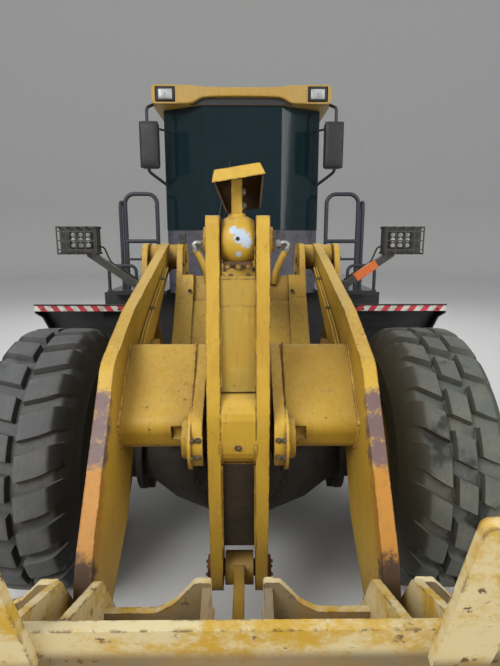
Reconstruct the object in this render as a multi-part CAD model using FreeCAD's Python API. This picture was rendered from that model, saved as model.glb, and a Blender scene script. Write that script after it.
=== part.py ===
import FreeCAD, Part
import math
import os
from FreeCAD import Vector

# Articulated wheel loader, bucket level on the ground, arms down. Millimetres.
# +Z is up, the front faces -Y, X is across. The origin is on the ground under
# the middle of the whole machine. Side outlines are (forward, height) points,
# where forward is counted from the front axle.

# Main sizes
WHEELBASE = 3300.0
TREAD = 2250.0
TYRE_R = 800.0
TYRE_W = 595.0
FRONT_REACH = 2900.0        # front axle to cutting edge
REAR_REACH = 1900.0         # rear axle to the back of the counterweight
RUN = 6.0                   # gap between plates that move past each other
PIN_FIT = 0.1               # gap between a pin and its bore, on the radius
SEAT = 0.3                  # gap between fixed pieces that would touch on a curve

FRONT_AXLE_Y = -(WHEELBASE + FRONT_REACH + REAR_REACH) / 2 + FRONT_REACH
REAR_AXLE_Y = FRONT_AXLE_Y + WHEELBASE
HINGE_Y = FRONT_AXLE_Y + WHEELBASE / 2
AXLE_Z = TYRE_R
WHEEL_X = TREAD / 2

# Steering hinge
HINGE_PIN_R = 50.0
LUG_R = 130.0
LUG_T = 60.0
LUG_LOW_Z = 640.0
LUG_HIGH_Z = 1150.0

# Front frame
TOWER_IN_X = 436.0          # middle of the inner plates
TOWER_OUT_X = 695.0         # middle of the outer plates
TOWER_T = 40.0
FRAME_SADDLE_Z = 985.0      # underside of the frame on the axle
FRAME_BACK_F = -1330.0
FRAME_BELLY_Z = 600.0
FRAME_DECK_Z = 1240.0
TIE_F, TIE_Z = -1120.0, 1000.0     # tie-down eye in an outer tower

# Lift arms
LIFT_F, LIFT_Z = -720.0, 2020.0
LIFT_PIN_R = 45.0
ARM_BOSS_R = 100.0
ARM_X = 565.0
ARM_T = 62.0
NOSE_F, NOSE_Z = 1470.0, 390.0      # bucket hinge
NOSE_R = 122.0
BUCKET_PIN_R = 45.0

# Rocker, link and their pins
ROCKER_F, ROCKER_Z = 950.0, 1300.0
ROCKER_PIN_R = 50.0
PIN_HEAD_R = 76.0
PIN_HEAD_T = 16.0
ROCKER_HALF_W = 130.0
ROCKER_T = 56.0
EYE_F, EYE_Z = 870.0, 2150.0        # rod eye at the rocker's top
LINK_F, LINK_Z = 900.0, 620.0       # link at the rocker's foot
LINK_PIN_R = 38.0
LINK_FRONT_F, LINK_FRONT_Z = NOSE_F + 5, NOSE_Z + 290
LINK_W = 47.0
EAR_IN_X = 150.0                    # rocker ears on the cross tube
EAR_OUT_X = 212.0

# Cylinders: base pin (forward, height), barrel and rod radii
TILT_F, TILT_Z = -500.0, 1850.0
TILT_BARREL_R, TILT_ROD_R = 98.0, 48.0
TILT_BARREL_L = 900.0
TILT_ROD_L = 795.0
RAM_F, RAM_Z = -1050.0, 1050.0      # lift cylinder on the frame
RAM_EYE_F, RAM_EYE_Z = 150.0, 1300.0
RAM_BARREL_R, RAM_ROD_R = 88.0, 46.0
RAM_EAR_GAP = RAM_ROD_R + RUN       # from the middle of the rod to an ear
RAM_BARREL_L = 1105.0
RAM_ROD_L = 1125.0
GUARD_Z = 2420.0            # plate over the rod eye, rolled to one side
GUARD_ROLL = 9.0
STEER_Z = 925.0
STEER_BASE = (420.0, 550.0)         # across, behind the steering hinge
STEER_EYE = (310.0, -420.0)
STEER_EAR_Z = 62.0          # outer faces of the ears above and below the cylinder
STEER_EAR_T = 26.0
STEER_NOTCH_F = -1190.0     # the inner plates are notched back to here for it
STEER_BARREL_R, STEER_ROD_R = 52.0, 25.0
STEER_BARREL_L = 620.0
STEER_ROD_L = 660.0

# Bucket
BUCKET_W = 3000.0
BUCKET_T = 22.0
RIM_F, RIM_Z = NOSE_F + 440, 1230.0
WALL_LEAN = 20.0                    # degrees, forward from upright
HEEL_R = 337.0
EAR_X = 490.0                       # middle of the inner ears
EAR_OUTER_X = 635.0
EAR_T = 30.0

# Cab
CAB_FRONT_Y = HINGE_Y + 60
CAB_BACK_Y = CAB_FRONT_Y + 1520
CAB_HALF_W = 730.0
CAB_FACET_X = 360.0
CAB_FACET_Y = CAB_FRONT_Y + 190
CAB_FLOOR_Z = 1620.0
ROOF_TOP_Z = 3485.0
ROOF_T = 155.0
CAB_EAVES_Z = ROOF_TOP_Z - ROOF_T
ROOF_HALF_W = 800.0
ROOF_FRONT_Y = CAB_FRONT_Y - 20
CAB_WALL = 50.0
GLASS_T = 6.0
SILL_Z = 2260.0
DOOR_Y0, DOOR_Y1 = CAB_FRONT_Y + 270, CAB_FRONT_Y + 1070
GLASS_EDGE = 22.0           # frame left beside a pane
DOOR_GAP = 5.0
MIRROR_X = 830.0            # middle of a mirror

# Rear frame and body
CHASSIS_X = 400.0
CHASSIS_T = 30.0
CHASSIS_LOW_Z = 720.0
CHASSIS_TOP_Z = 1245.0
CHASSIS_FRONT_Y = HINGE_Y + 260
CHASSIS_BACK_Y = REAR_AXLE_Y + REAR_REACH - 600
PLATFORM_TOP_Z = 1660.0
PLATFORM_T = 40.0
PLATFORM_X = 1300.0
HOOD_HALF_W = 600.0
HOOD_FRONT_Y = CAB_BACK_Y + 50
HOOD_BACK_Y = REAR_AXLE_Y + REAR_REACH - 250
HOOD_TOP_Z = 2420.0
HOOD_T = 30.0
CHASSIS_TAIL_Y = REAR_AXLE_Y + REAR_REACH
TAIL_LAMP_X = 800.0
TAIL_RECESS = 40.0
TOW_JAW_Z = 860.0           # floor of the tow hitch's mouth
TOW_PIN_R = 22.0
LIFT_EYE_R = 35.0


def front_y(forward):
    return FRONT_AXLE_Y - forward


def side(x):
    """Places (forward, height) points in the plane at x."""
    return lambda f, z: Vector(x, front_y(f), z)


def plan(z):
    return lambda x, y: Vector(x, y, z)


def facing(y):
    return lambda x, z: Vector(x, y, z)


def rounded(points):
    """Runs and arcs of a closed outline; a point's third number rounds it."""
    flat = [Vector(p[0], p[1], 0) for p in points]
    corners = []
    for i, p in enumerate(points):
        here = flat[i]
        if len(p) < 3:
            corners.append((here, None, here))
            continue
        back = (flat[i - 1] - here).normalize()
        ahead = (flat[(i + 1) % len(flat)] - here).normalize()
        half = back.getAngle(ahead) / 2
        inward = (back + ahead).normalize()
        run = p[2] / math.tan(half)
        middle = here + inward * (p[2] / math.sin(half) - p[2])
        corners.append((here + back * run, middle, here + ahead * run))
    return corners


def face(points, place):
    corners = rounded(points)
    edges = []
    for i, (start, middle, end) in enumerate(corners):
        at = [place(q.x, q.y) for q in (start, middle or start, end)]
        if middle is not None:
            edges.append(Part.Arc(*at).toShape())
        following = corners[(i + 1) % len(corners)][0]
        if (following - end).dot(Vector(*points[(i + 1) % len(points)][:2], 0) - end) < 0:
            print("corners too round for their run:", points[i], points[(i + 1) % len(points)])
        if (following - end).Length > 1e-6:
            edges.append(Part.LineSegment(at[2], place(following.x, following.y)).toShape())
    return Part.Face(Part.Wire(edges))


def side_plate(points, x0, x1):
    return face(points, side(x0)).extrude(Vector(x1 - x0, 0, 0))


def plan_plate(points, z0, z1):
    return face(points, plan(z0)).extrude(Vector(0, 0, z1 - z0))


def front_plate(points, y0, y1):
    return face(points, facing(y0)).extrude(Vector(0, y1 - y0, 0))


def box(x0, x1, y0, y1, z0, z1):
    return Part.makeBox(x1 - x0, y1 - y0, z1 - z0, Vector(x0, y0, z0))


def rod(start, end, radius):
    along = end - start
    return Part.makeCylinder(radius, along.Length, start, along)


def cross_rod(f, z, radius, x0, x1):
    """A rod across the machine at a side-view point."""
    return rod(side(x0)(f, z), side(x1)(f, z), radius)


def upright(x, y, radius, z0, z1):
    return rod(Vector(x, y, z0), Vector(x, y, z1), radius)


def bent_tube(points, radius, bend):
    """A round tube along straight runs joined by tangent arcs."""
    edges = []
    last = points[0]
    for i in range(1, len(points) - 1):
        here = points[i]
        back = (points[i - 1] - here).normalize()
        ahead = (points[i + 1] - here).normalize()
        half = back.getAngle(ahead) / 2
        run = bend / math.tan(half)
        middle = here + (back + ahead).normalize() * (bend / math.sin(half) - bend)
        edges.append(Part.LineSegment(last, here + back * run).toShape())
        edges.append(Part.Arc(here + back * run, middle, here + ahead * run).toShape())
        last = here + ahead * run
    edges.append(Part.LineSegment(last, points[-1]).toShape())
    start = points[1] - points[0]
    ring = Part.Wire(Part.makeCircle(radius, points[0], start))
    return Part.Wire(edges).makePipeShell([ring], True, False)


def join(*shapes):
    """One solid of several; faces in one plane are merged where that holds."""
    first, rest = shapes[0], list(shapes[1:])
    whole = first.multiFuse(rest) if rest else first
    merged = whole.removeSplitter()
    return merged if merged.isValid() else whole


def cut(shape, *tools):
    return shape.cut(list(tools))


def mirrored(shape):
    return shape.mirror(Vector(0, 0, 0), Vector(1, 0, 0))


def both(shape):
    """A shape and its mirror image on the other side of the machine."""
    return [shape, mirrored(shape)]


def save(name, *shapes):
    solids = [s for shape in shapes for s in shape.Solids]
    for solid in solids:
        if not solid.isValid() or solid.Volume <= 0:
            print("check", name, solid.Volume)
    Part.makeCompound(solids).exportStep("parts/" + name + ".step")


# Wheels

RIM_SEAT_R = 318.0
RIM_FLANGE_R = 356.0
RIM_HALF_W = 250.0
SPINDLE_R = 140.0
HUB_FIT = 0.8               # gap round the spindle in the hub
LUG_DEPTH = 42.0
LUG_PROUD = 3.0             # tread bars stand this far out of the sidewall
LUG_COUNT = 16              # on each side of a tyre
TYRE_SIDES = 32             # flats round a tyre
BLOCK_SLANT = 0.14          # lug slant: sideways run into turn, as a tangent
SWEEP_SLANT = 0.62


def spin_x(points):
    """A solid of revolution about X from (x, radius) points."""
    flat = face(points, lambda x, r: Vector(x, r, 0))
    return flat.revolve(Vector(0, 0, 0), Vector(1, 0, 0), 360)


def wheel_point(x, radius, turn):
    return Vector(x, radius * math.sin(turn), radius * math.cos(turn))


def flat_faces(corners):
    """A flat face on four corners, or two where they aren't in one plane."""
    a, b, c, d = corners
    if abs((b - a).cross(c - a).normalize().dot(d - a)) < 1e-6:
        return [Part.Face(Part.makePolygon([a, b, c, d, a]))]
    return [Part.Face(Part.makePolygon([a, b, c, a])), Part.Face(Part.makePolygon([a, c, d, a]))]


def skinned(sections, round_trip):
    """A flat-faced solid through sections of equally many points."""
    pairs = list(zip(sections, sections[1:]))
    faces = []
    if round_trip:
        pairs.append((sections[-1], sections[0]))
    else:
        faces += flat_faces(sections[0]) + flat_faces(sections[-1])
    for one, two in pairs:
        for i in range(len(one)):
            j = (i + 1) % len(one)
            faces += flat_faces([one[i], one[j], two[j], two[i]])
    solid = Part.Solid(Part.makeShell(faces))
    solid.fix(1e-6, 1e-6, 1e-6)
    return solid if solid.Volume > 0 else solid.reversed()


def make_carcass():
    half, tread = TYRE_W / 2 - LUG_PROUD, TYRE_R - LUG_DEPTH
    bead = (RIM_SEAT_R + SEAT) / math.cos(math.pi / TYRE_SIDES)
    side_run = [(half - 67, bead), (half, 560), (half - 16, tread - 45), (half - 70, tread)]
    outline = side_run + [(-x, r) for x, r in reversed(side_run)]
    turns = [2 * math.pi * i / TYRE_SIDES for i in range(TYRE_SIDES)]
    return skinned([[wheel_point(x, r, turn) for x, r in outline] for turn in turns], True)


def lug(slant, across, turn):
    """One tread bar from the middle to the shoulder; its end leans into the sidewall."""
    half = TYRE_W / 2
    width = 2 * math.pi / LUG_COUNT * 0.26
    flare = 8.0 / TYRE_R
    crest = TYRE_R / math.cos(max(width - slant * half / 2 / TYRE_R, 0))
    # columns: across at the top, across at the foot, top radius, foot radius, half width
    stations = [(22.0, 22.0, crest, TYRE_R - LUG_DEPTH - 40, width),
                (half, half - 14, TYRE_R - 40, TYRE_R - LUG_DEPTH - 105, width * 1.15)]
    sections = []
    for x, foot_x, top, foot, wide in stations:
        middle = turn + slant * (half / 2 - x) / TYRE_R
        sections.append([wheel_point(across * foot_x, foot, middle - wide - flare),
                         wheel_point(across * x, top, middle - wide),
                         wheel_point(across * x, top, middle + wide),
                         wheel_point(across * foot_x, foot, middle + wide + flare)])
    return skinned(sections, False)


def make_tyre(slant):
    pitch = 2 * math.pi / LUG_COUNT
    bars = []
    for i in range(LUG_COUNT):
        bars.append(lug(slant, 1, i * pitch))
        bars.append(lug(slant, -1, (i + 0.5) * pitch))
    return make_carcass().multiFuse(bars)


def make_rim():
    """Rim barrel, dished disc and planetary hub; +X is the outer side."""
    half = RIM_HALF_W
    barrel = [(-half, RIM_FLANGE_R - SEAT), (-half - 14, RIM_FLANGE_R - SEAT), (-half - 14, 300),
              (half + 14, 300), (half + 14, RIM_FLANGE_R - SEAT), (half, RIM_FLANGE_R - SEAT),
              (half - 10, RIM_SEAT_R), (-half + 10, RIM_SEAT_R)]
    barrel = [(x, r) if r < RIM_FLANGE_R - 1 else (x, r - 4) for x, r in barrel]
    disc = [(-60, 120), (-60, 260, 20), (-10, 305), (14, 305), (-30, 252, 20), (-30, 120)]
    hub = [(-215, SPINDLE_R + HUB_FIT), (-215, 205, 15), (-60, 225, 20), (70, 225, 30),
           (110, 160, 25), (165, 150, 20), (175, 0), (-160, 0), (-160, SPINDLE_R + HUB_FIT)]
    return join(spin_x(barrel), spin_x(disc), spin_x(hub))


def make_wheels():
    block, sweep, rim = make_tyre(BLOCK_SLANT), make_tyre(SWEEP_SLANT), make_rim()
    # columns: name, across, axle place, tyre
    wheels = [("front_left", -1, FRONT_AXLE_Y, block), ("front_right", 1, FRONT_AXLE_Y, sweep),
              ("rear_left", -1, REAR_AXLE_Y, block), ("rear_right", 1, REAR_AXLE_Y, block)]
    for name, across, y, tyre in wheels:
        for kind, shape in (("tyre_", tyre), ("rim_", rim)):
            here = shape.copy() if across > 0 else mirrored(shape)
            here.translate(Vector(across * WHEEL_X, y, AXLE_Z))
            save(kind + name, here)


def make_axle(y):
    """Drive axle: bowl, tapered arms, brake discs with calipers, spindles."""
    end = WHEEL_X - 165
    half = [(0, 380), (150, 380, 60), (400, 285, 80), (560, 172), (end, 150), (end, 0), (0, 0)]
    arm = spin_x(half)
    disc = rod(Vector(600, 0, 0), Vector(634, 0, 0), 235)
    calipers = []
    for turn in (-55, 15, 195, 235):
        block = box(572, 662, -60, 60, 150, 262)
        block.rotate(Vector(0, 0, 0), Vector(1, 0, 0), turn)
        calipers.append(block)
    spindle = rod(Vector(end - 10, 0, 0), Vector(end, 0, 0), SPINDLE_R)
    arm = join(cut(arm, box(end - 120, end + 1, -200, 200, -200, 200)),
               rod(Vector(end - 130, 0, 0), Vector(end, 0, 0), SPINDLE_R), disc, *calipers, spindle)
    whole = join(arm, mirrored(arm))
    whole.translate(Vector(0, y, AXLE_Z))
    over = box(-560, 560, y - 500, y + 500, FRAME_SADDLE_Z, FRAME_SADDLE_Z + 500)
    return cut(whole, over)


# Front frame

INNER_TOWER = [(FRAME_BACK_F, FRAME_BELLY_Z), (-420, FRAME_BELLY_Z, 60), (-300, FRAME_SADDLE_Z, 60),
               (330, FRAME_SADDLE_Z, 30), (330, 1060, 40), (60, 1180, 150), (-420, 1750, 200),
               (-560, 2120, 90), (-880, 2120, 90), (-960, 1400, 150), (FRAME_BACK_F, FRAME_DECK_Z)]
OUTER_TOWER = [(-1210, 900), (-560, 900, 60), (-430, 1500, 150), (-600, 2120, 90),
               (-840, 2120, 90), (-1000, 1400, 150), (-1210, 1200, 60)]


def make_front_frame():
    in0, in1 = TOWER_IN_X - TOWER_T / 2, TOWER_IN_X + TOWER_T / 2
    out0, out1 = TOWER_OUT_X - TOWER_T / 2, TOWER_OUT_X + TOWER_T / 2
    sides = side_plate(INNER_TOWER, in0, in1)
    outer = side_plate(OUTER_TOWER, out0, out1)
    shelf = side_plate([(-1210, 900), (-560, 900), (-560, 935), (-1210, 935)], in1, out0)
    back = side_plate([(-1210, 935), (-1190, 935), (-1190, 1180), (-1210, 1180)], in1, out0)
    lift_pin = cross_rod(LIFT_F, LIFT_Z, LIFT_PIN_R, in0 - 12, out1 + 12)
    lift_cap = cross_rod(LIFT_F, LIFT_Z, LIFT_PIN_R + 22, out1, out1 + 14)
    ram_pin = cross_rod(RAM_F, RAM_Z, 40, in1, out0)
    eye = cross_rod(TIE_F, TIE_Z, LIFT_EYE_R, out0 - 1, out1 + 1)
    half = cut(join(sides, outer, shelf, back, lift_pin, lift_cap, ram_pin), eye)
    band = STEER_EAR_Z + 24
    half = cut(half, box(in0 - 1, in1 + 1, front_y(STEER_NOTCH_F), front_y(FRAME_BACK_F) + 1,
                         STEER_Z - band, STEER_Z + band))
    belly = side_plate([(FRAME_BACK_F, FRAME_BELLY_Z), (-440, FRAME_BELLY_Z),
                        (-440, FRAME_BELLY_Z + 35), (FRAME_BACK_F, FRAME_BELLY_Z + 35)], -in0, in0)
    deck = side_plate([(FRAME_BACK_F, FRAME_DECK_Z - 30), (-980, 1330), (-980, 1365),
                       (FRAME_BACK_F, FRAME_DECK_Z + 4)], -in0, in0)
    brow = side_plate([(-452, 1716), (34, 1138), (34, 1178), (-430, 1730)], -in0, in0)
    cross = side_plate([(-640, 1560, 30), (-500, 1560, 30), (-500, 1700, 30), (-640, 1700, 30)], -in0, in0)
    ears = join(side_plate([(-650, 1570), (-480, 1570), (TILT_F + 95, TILT_Z - 20), (TILT_F - 97, TILT_Z)],
                           118, 152),
                cross_rod(TILT_F, TILT_Z, 98, 118, 152))
    tilt_pin = cross_rod(TILT_F, TILT_Z, 45, -165, 165)
    nose = side_plate([(295, FRAME_SADDLE_Z), (330, FRAME_SADDLE_Z), (330, 1060), (295, 1070)], -in0, in0)
    frame = join(half, mirrored(half), belly, deck, brow, cross, ears, mirrored(ears), tilt_pin, nose)
    for z in (LUG_LOW_Z, LUG_HIGH_Z):
        y0, y1 = HINGE_Y, front_y(FRAME_BACK_F) - 60
        lug_plate = plan_plate([(-LUG_R, y0), (-in1, y1), (in1, y1), (LUG_R, y0)], z, z + LUG_T)
        lug_plate = join(lug_plate, upright(0, HINGE_Y, LUG_R, z, z + LUG_T))
        frame = join(frame, lug_plate)
    bore = upright(0, HINGE_Y, HINGE_PIN_R + PIN_FIT, LUG_LOW_Z - 50, LUG_HIGH_Z + 150)
    frame = cut(frame, bore)
    x, y = STEER_EYE[0], HINGE_Y + STEER_EYE[1]
    for z in (STEER_Z - STEER_EAR_Z, STEER_Z + STEER_EAR_Z - STEER_EAR_T):
        ear = plan_plate([(x - 40, y - 45), (in0 + 5, front_y(STEER_NOTCH_F) - 170),
                          (in0 + 5, front_y(STEER_NOTCH_F) - 2), (x + 40, y + 45)], z, z + STEER_EAR_T)
        ear = join(ear, upright(x, y, 60, z, z + STEER_EAR_T), upright(x, y, 34, z - 8, z + STEER_EAR_T + 8))
        inner = upright(x, y, 70, STEER_Z - STEER_EAR_Z + STEER_EAR_T, STEER_Z + STEER_EAR_Z - STEER_EAR_T)
        frame = join(frame, *both(cut(ear, inner)))
    return frame


FENDER_PATH = [(-420, 1700), (-540, 1665), (-720, 1500), (-880, 1330)]
FENDER_T = 12.0
FENDER_X0, FENDER_X1 = 800.0, 1450.0


def strip(points, thick):
    """A thin side outline that follows a line of points, thickened downwards."""
    return list(points) + [(f, z - thick) for f, z in reversed(points)]


def make_front_fenders():
    sheet = side_plate(strip(FENDER_PATH, FENDER_T), FENDER_X0, FENDER_X1)
    lip = side_plate([(-420, 1700), (-420, 1652), (-432, 1652), (-432, 1690)], FENDER_X0, FENDER_X1)
    skirt = side_plate([(-420, 1699), (-540, 1664), (-720, 1499), (-880, 1329), (-880, 1270),
                        (-700, 1420), (-540, 1590), (-420, 1640)], FENDER_X1 - FENDER_T, FENDER_X1)
    outer = TOWER_OUT_X + TOWER_T / 2
    arm = join(box(outer, FENDER_X0 + 200, front_y(-560) - 30, front_y(-560) + 30, 1580, 1640),
               box(FENDER_X0 + 100, FENDER_X0 + 160, front_y(-560) - 30, front_y(-560) + 30, 1600, 1645))
    return both(join(sheet, lip, skirt, arm))


def make_work_lamps():
    """Cage lamps on slanted square posts beside the towers."""
    y = front_y(-560)
    foot, head = Vector(TOWER_OUT_X + TOWER_T / 2, y, 1800), Vector(1085, y, 2055)
    along = head - foot
    post = Part.makeBox(50, 50, along.Length, Vector(-25, -25, 0))
    post.Placement = FreeCAD.Placement(foot, FreeCAD.Rotation(Vector(0, 0, 1), along))
    post = cut(post, box(foot.x - 100, foot.x, y - 100, y + 100, 1700, 1900))
    pad = box(foot.x, foot.x + 30, y - 50, y + 50, 1740, 1860)
    body = box(1020, 1280, y - 20, y + 75, 2060, 2225)
    lens = box(1050, 1205, y - 35, y - 20, 2090, 2200)
    bars = []
    for i in range(5):
        x = 1020 + i * 65
        loop = box(x - 4, x + 4, y - 79, y - 15, 2046, 2239)
        bars.append(cut(loop, box(x - 5, x + 5, y - 71, y, 2054, 2231)))
    rails = [box(1016, 1284, y - 79, y - 71, z - 4, z + 4) for z in (2080, 2142, 2205)]
    plate_top = box(1014, 1286, y - 25, y + 80, 2225, 2240)
    plate_low = box(1014, 1286, y - 25, y + 80, 2045, 2060)
    return both(join(post, pad, body, lens, *bars, *rails, plate_top, plate_low))


# Lift arms

ARM = [(-820, 2120, 95), (-700, 2120), (510, 1800, 400), (920, 1630, 150), (1360, 1000, 300),
       (NOSE_F + 100, NOSE_Z + 66), (NOSE_F - 119, NOSE_Z - 20), (1320, 540, 120), (830, 860, 200),
       (640, 1180, 250), (100, 1520, 300), (-620, 1905, 100), (-820, 1920, 95)]
TUBE = [(620, 1650, 40), (935, 1345, 70), (890, 1230, 60), (640, 1130, 60), (450, 1330, 60), (470, 1600, 60)]


def make_lift_arms():
    x0, x1 = ARM_X - ARM_T / 2, ARM_X + ARM_T / 2
    plate = join(side_plate(ARM, x0, x1), cross_rod(NOSE_F, NOSE_Z, NOSE_R, x0, x1))
    in1 = TOWER_IN_X + TOWER_T / 2 + RUN
    out0 = TOWER_OUT_X - TOWER_T / 2 - RUN
    boss = cross_rod(LIFT_F, LIFT_Z, ARM_BOSS_R - 8, in1, out0)
    nose = cross_rod(NOSE_F, NOSE_Z, NOSE_R - 10, EAR_X + EAR_T / 2 + RUN, EAR_OUTER_X - EAR_T / 2 - RUN)
    near, far = RAM_EAR_GAP, RAM_EAR_GAP + 24
    outline = [(RAM_EYE_F - 80, 1560), (RAM_EYE_F - 80, RAM_EYE_Z + 50), (RAM_EYE_F, RAM_EYE_Z),
               (RAM_EYE_F + 90, RAM_EYE_Z - 30), (RAM_EYE_F + 330, 1420)]
    ear = join(side_plate(outline, near, far), cross_rod(RAM_EYE_F, RAM_EYE_Z, 95, near, far),
               cross_rod(RAM_EYE_F, RAM_EYE_Z, 55, far, far + 14))
    root = side_plate([(RAM_EYE_F - 80, 1560), (RAM_EYE_F - 80, 1440), (RAM_EYE_F + 250, 1440),
                       (RAM_EYE_F + 250, 1500)], -far, far)
    ears = join(*both(ear), root)
    ears.translate(Vector(ARM_X, 0, 0))
    tube = side_plate(TUBE, 0, x0)
    hollow = side_plate([(625, 1610, 20), (900, 1335, 50), (872, 1255, 40), (650, 1165, 40),
                         (478, 1340, 40), (497, 1572, 40)], EAR_OUT_X, x0)
    collar = cross_rod(ROCKER_F, ROCKER_Z, 120, EAR_IN_X, EAR_OUT_X)
    flange = cross_rod(ROCKER_F, ROCKER_Z, 135, EAR_OUT_X - 14, EAR_OUT_X)
    cheek = side_plate([(640, 1130, 60), (890, 1200, 40), (1075, 1250, 90), (1050, 1400, 90), (620, 1650, 40),
                        (470, 1600, 60), (450, 1330, 60)], EAR_IN_X, EAR_OUT_X - 14)
    arm = join(plate, boss, nose, ears, cut(tube, hollow), collar, flange, cheek)
    sweep = join(side_plate([(0, 2100), (0, 1900), (700, 1170), (740, 900), (1200, 900), (1200, 2100)],
                            0, EAR_IN_X))
    arm = cut(arm, sweep)
    head_room = cross_rod(ROCKER_F, ROCKER_Z, PIN_HEAD_R + RUN, EAR_OUT_X, EAR_OUT_X + 2 + PIN_HEAD_T + RUN)
    arm = cut(arm, head_room)
    arms = join(arm, mirrored(arm))
    bores = [cross_rod(LIFT_F, LIFT_Z, LIFT_PIN_R + PIN_FIT, -900, 900),
             cross_rod(NOSE_F, NOSE_Z, BUCKET_PIN_R + PIN_FIT, -900, 900),
             cross_rod(ROCKER_F, ROCKER_Z, ROCKER_PIN_R + PIN_FIT, -300, 300)]
    return cut(arms, *bores)


# Rocker and link

ROCKER = [(780, 2250, 40), (960, 2250, 40), (1065, 1450, 300), (1045, 1150, 200), (990, 530, 80),
          (810, 530, 80), (800, 1150, 200), (790, 1450, 300)]


def make_rocker():
    inner = ROCKER_HALF_W - ROCKER_T
    half = side_plate(ROCKER, inner, ROCKER_HALF_W)
    heads = [cross_rod(EYE_F, EYE_Z, 55, ROCKER_HALF_W, ROCKER_HALF_W + 14)]
    half = join(half, *heads)
    boss = cross_rod(ROCKER_F, ROCKER_Z, 105, -inner, inner)
    web_high = side_plate([(955, 1540), (1010, 1540), (985, 1890), (955, 1890)], -inner, inner)
    web_low = side_plate([(965, 800), (990, 800), (1015, 1210), (985, 1210)], -inner, inner)
    rocker = join(half, mirrored(half), boss, web_high, web_low)
    bores = [cross_rod(ROCKER_F, ROCKER_Z, ROCKER_PIN_R + PIN_FIT, -300, 300),
             cross_rod(LINK_F, LINK_Z, LINK_PIN_R + PIN_FIT, -300, 300)]
    return cut(rocker, *bores)


def make_link():
    half = LINK_W / 2
    dy, dz = LINK_FRONT_F - LINK_F, LINK_FRONT_Z - LINK_Z
    length = math.hypot(dy, dz)
    ux, uz = dy / length, dz / length
    nx, nz = -uz * 45, ux * 45
    bar = side_plate([(LINK_F + nx, LINK_Z + nz), (LINK_FRONT_F + nx, LINK_FRONT_Z + nz),
                      (LINK_FRONT_F - nx, LINK_FRONT_Z - nz), (LINK_F - nx, LINK_Z - nz)], -half, half)
    back_eye = cross_rod(LINK_F, LINK_Z, 75, -66, 66)
    front_eye = cross_rod(LINK_FRONT_F, LINK_FRONT_Z, 72, -60, 60)
    return cut(join(bar, back_eye, front_eye), cross_rod(LINK_F, LINK_Z, LINK_PIN_R + PIN_FIT, -90, 90))


def make_pins():
    reach = EAR_OUTER_X + EAR_T / 2
    pin = join(cross_rod(NOSE_F, NOSE_Z, BUCKET_PIN_R, EAR_X - EAR_T / 2 - 16, reach + 16),
               cross_rod(NOSE_F, NOSE_Z, BUCKET_PIN_R + 20, reach + 2, reach + 16))
    save("bucket_pins", *both(pin))
    reach = EAR_OUT_X + 2 + PIN_HEAD_T
    pivot = join(cross_rod(ROCKER_F, ROCKER_Z, ROCKER_PIN_R, -reach, reach),
                 *both(cross_rod(ROCKER_F, ROCKER_Z, PIN_HEAD_R, EAR_OUT_X + 2, reach)))
    save("rocker_pin", pivot)
    foot = join(cross_rod(LINK_F, LINK_Z, LINK_PIN_R, -ROCKER_HALF_W - 18, ROCKER_HALF_W + 18),
                *both(cross_rod(LINK_F, LINK_Z, LINK_PIN_R + 18, ROCKER_HALF_W + 2, ROCKER_HALF_W + 18)))
    save("link_pin", foot)


# Cylinders

def along(start, end, distance):
    return start + (end - start).normalize() * distance


def barrel(base, tip, radius, rod_radius, length, rod_length, closed, eye):
    """Cylinder body from its base eye to its gland, with the bore the rod slides in."""
    gland = along(base, tip, length)
    body = rod(along(base, tip, 40), along(base, tip, length - 60), radius)
    ring = rod(along(base, tip, length - 62), gland, radius + 14)
    bore = rod(along(base, tip, closed - rod_length - 12), along(base, tip, length + 5), rod_radius + PIN_FIT)
    return cut(join(body, ring, eye), bore)


def make_tilt_cylinder():
    base, tip = side(0)(TILT_F, TILT_Z), side(0)(EYE_F, EYE_Z)
    closed = 1236.0
    eye = cross_rod(TILT_F, TILT_Z, 110, -118 + RUN, 118 - RUN)
    body = barrel(base, tip, TILT_BARREL_R, TILT_ROD_R, TILT_BARREL_L, TILT_ROD_L, closed, eye)
    save("tilt_barrel", cut(body, cross_rod(TILT_F, TILT_Z, 45 + PIN_FIT, -200, 200)))
    half_gap = ROCKER_HALF_W - ROCKER_T - RUN
    ball = Part.makeSphere(105, tip).common(box(-half_gap, half_gap, -9000, 9000, 0, 9000))
    stem = rod(tip, along(tip, base, TILT_ROD_L), TILT_ROD_R)
    neck = rod(along(tip, base, 60), along(tip, base, 150), TILT_ROD_R + 14)
    post = rod(tip + Vector(0, 0, 80), Vector(0, tip.y, GUARD_Z), 22)
    y0, y1 = tip.y - 120, tip.y + 200
    plate = plan_plate([(-80, y0), (80, y0), (116, y1), (-116, y1)], GUARD_Z - 7, GUARD_Z + 7)
    apron = front_plate([(-78, GUARD_Z), (78, GUARD_Z), (66, GUARD_Z - 130, 10), (-66, GUARD_Z - 130, 10)],
                        y0, y0 + 14)
    cheeks = [side_plate([(EYE_F + 110, GUARD_Z), (EYE_F + 110, GUARD_Z - 110), (EYE_F - 20, GUARD_Z - 100),
                          (EYE_F - 150, GUARD_Z)], x, x + 12) for x in (-62, 50)]
    guard = join(plate, apron, *cheeks)
    guard.rotate(Vector(0, tip.y, GUARD_Z), Vector(0, 1, 0), -GUARD_ROLL)
    save("tilt_rod", join(ball, stem, neck, post, guard))


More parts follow.
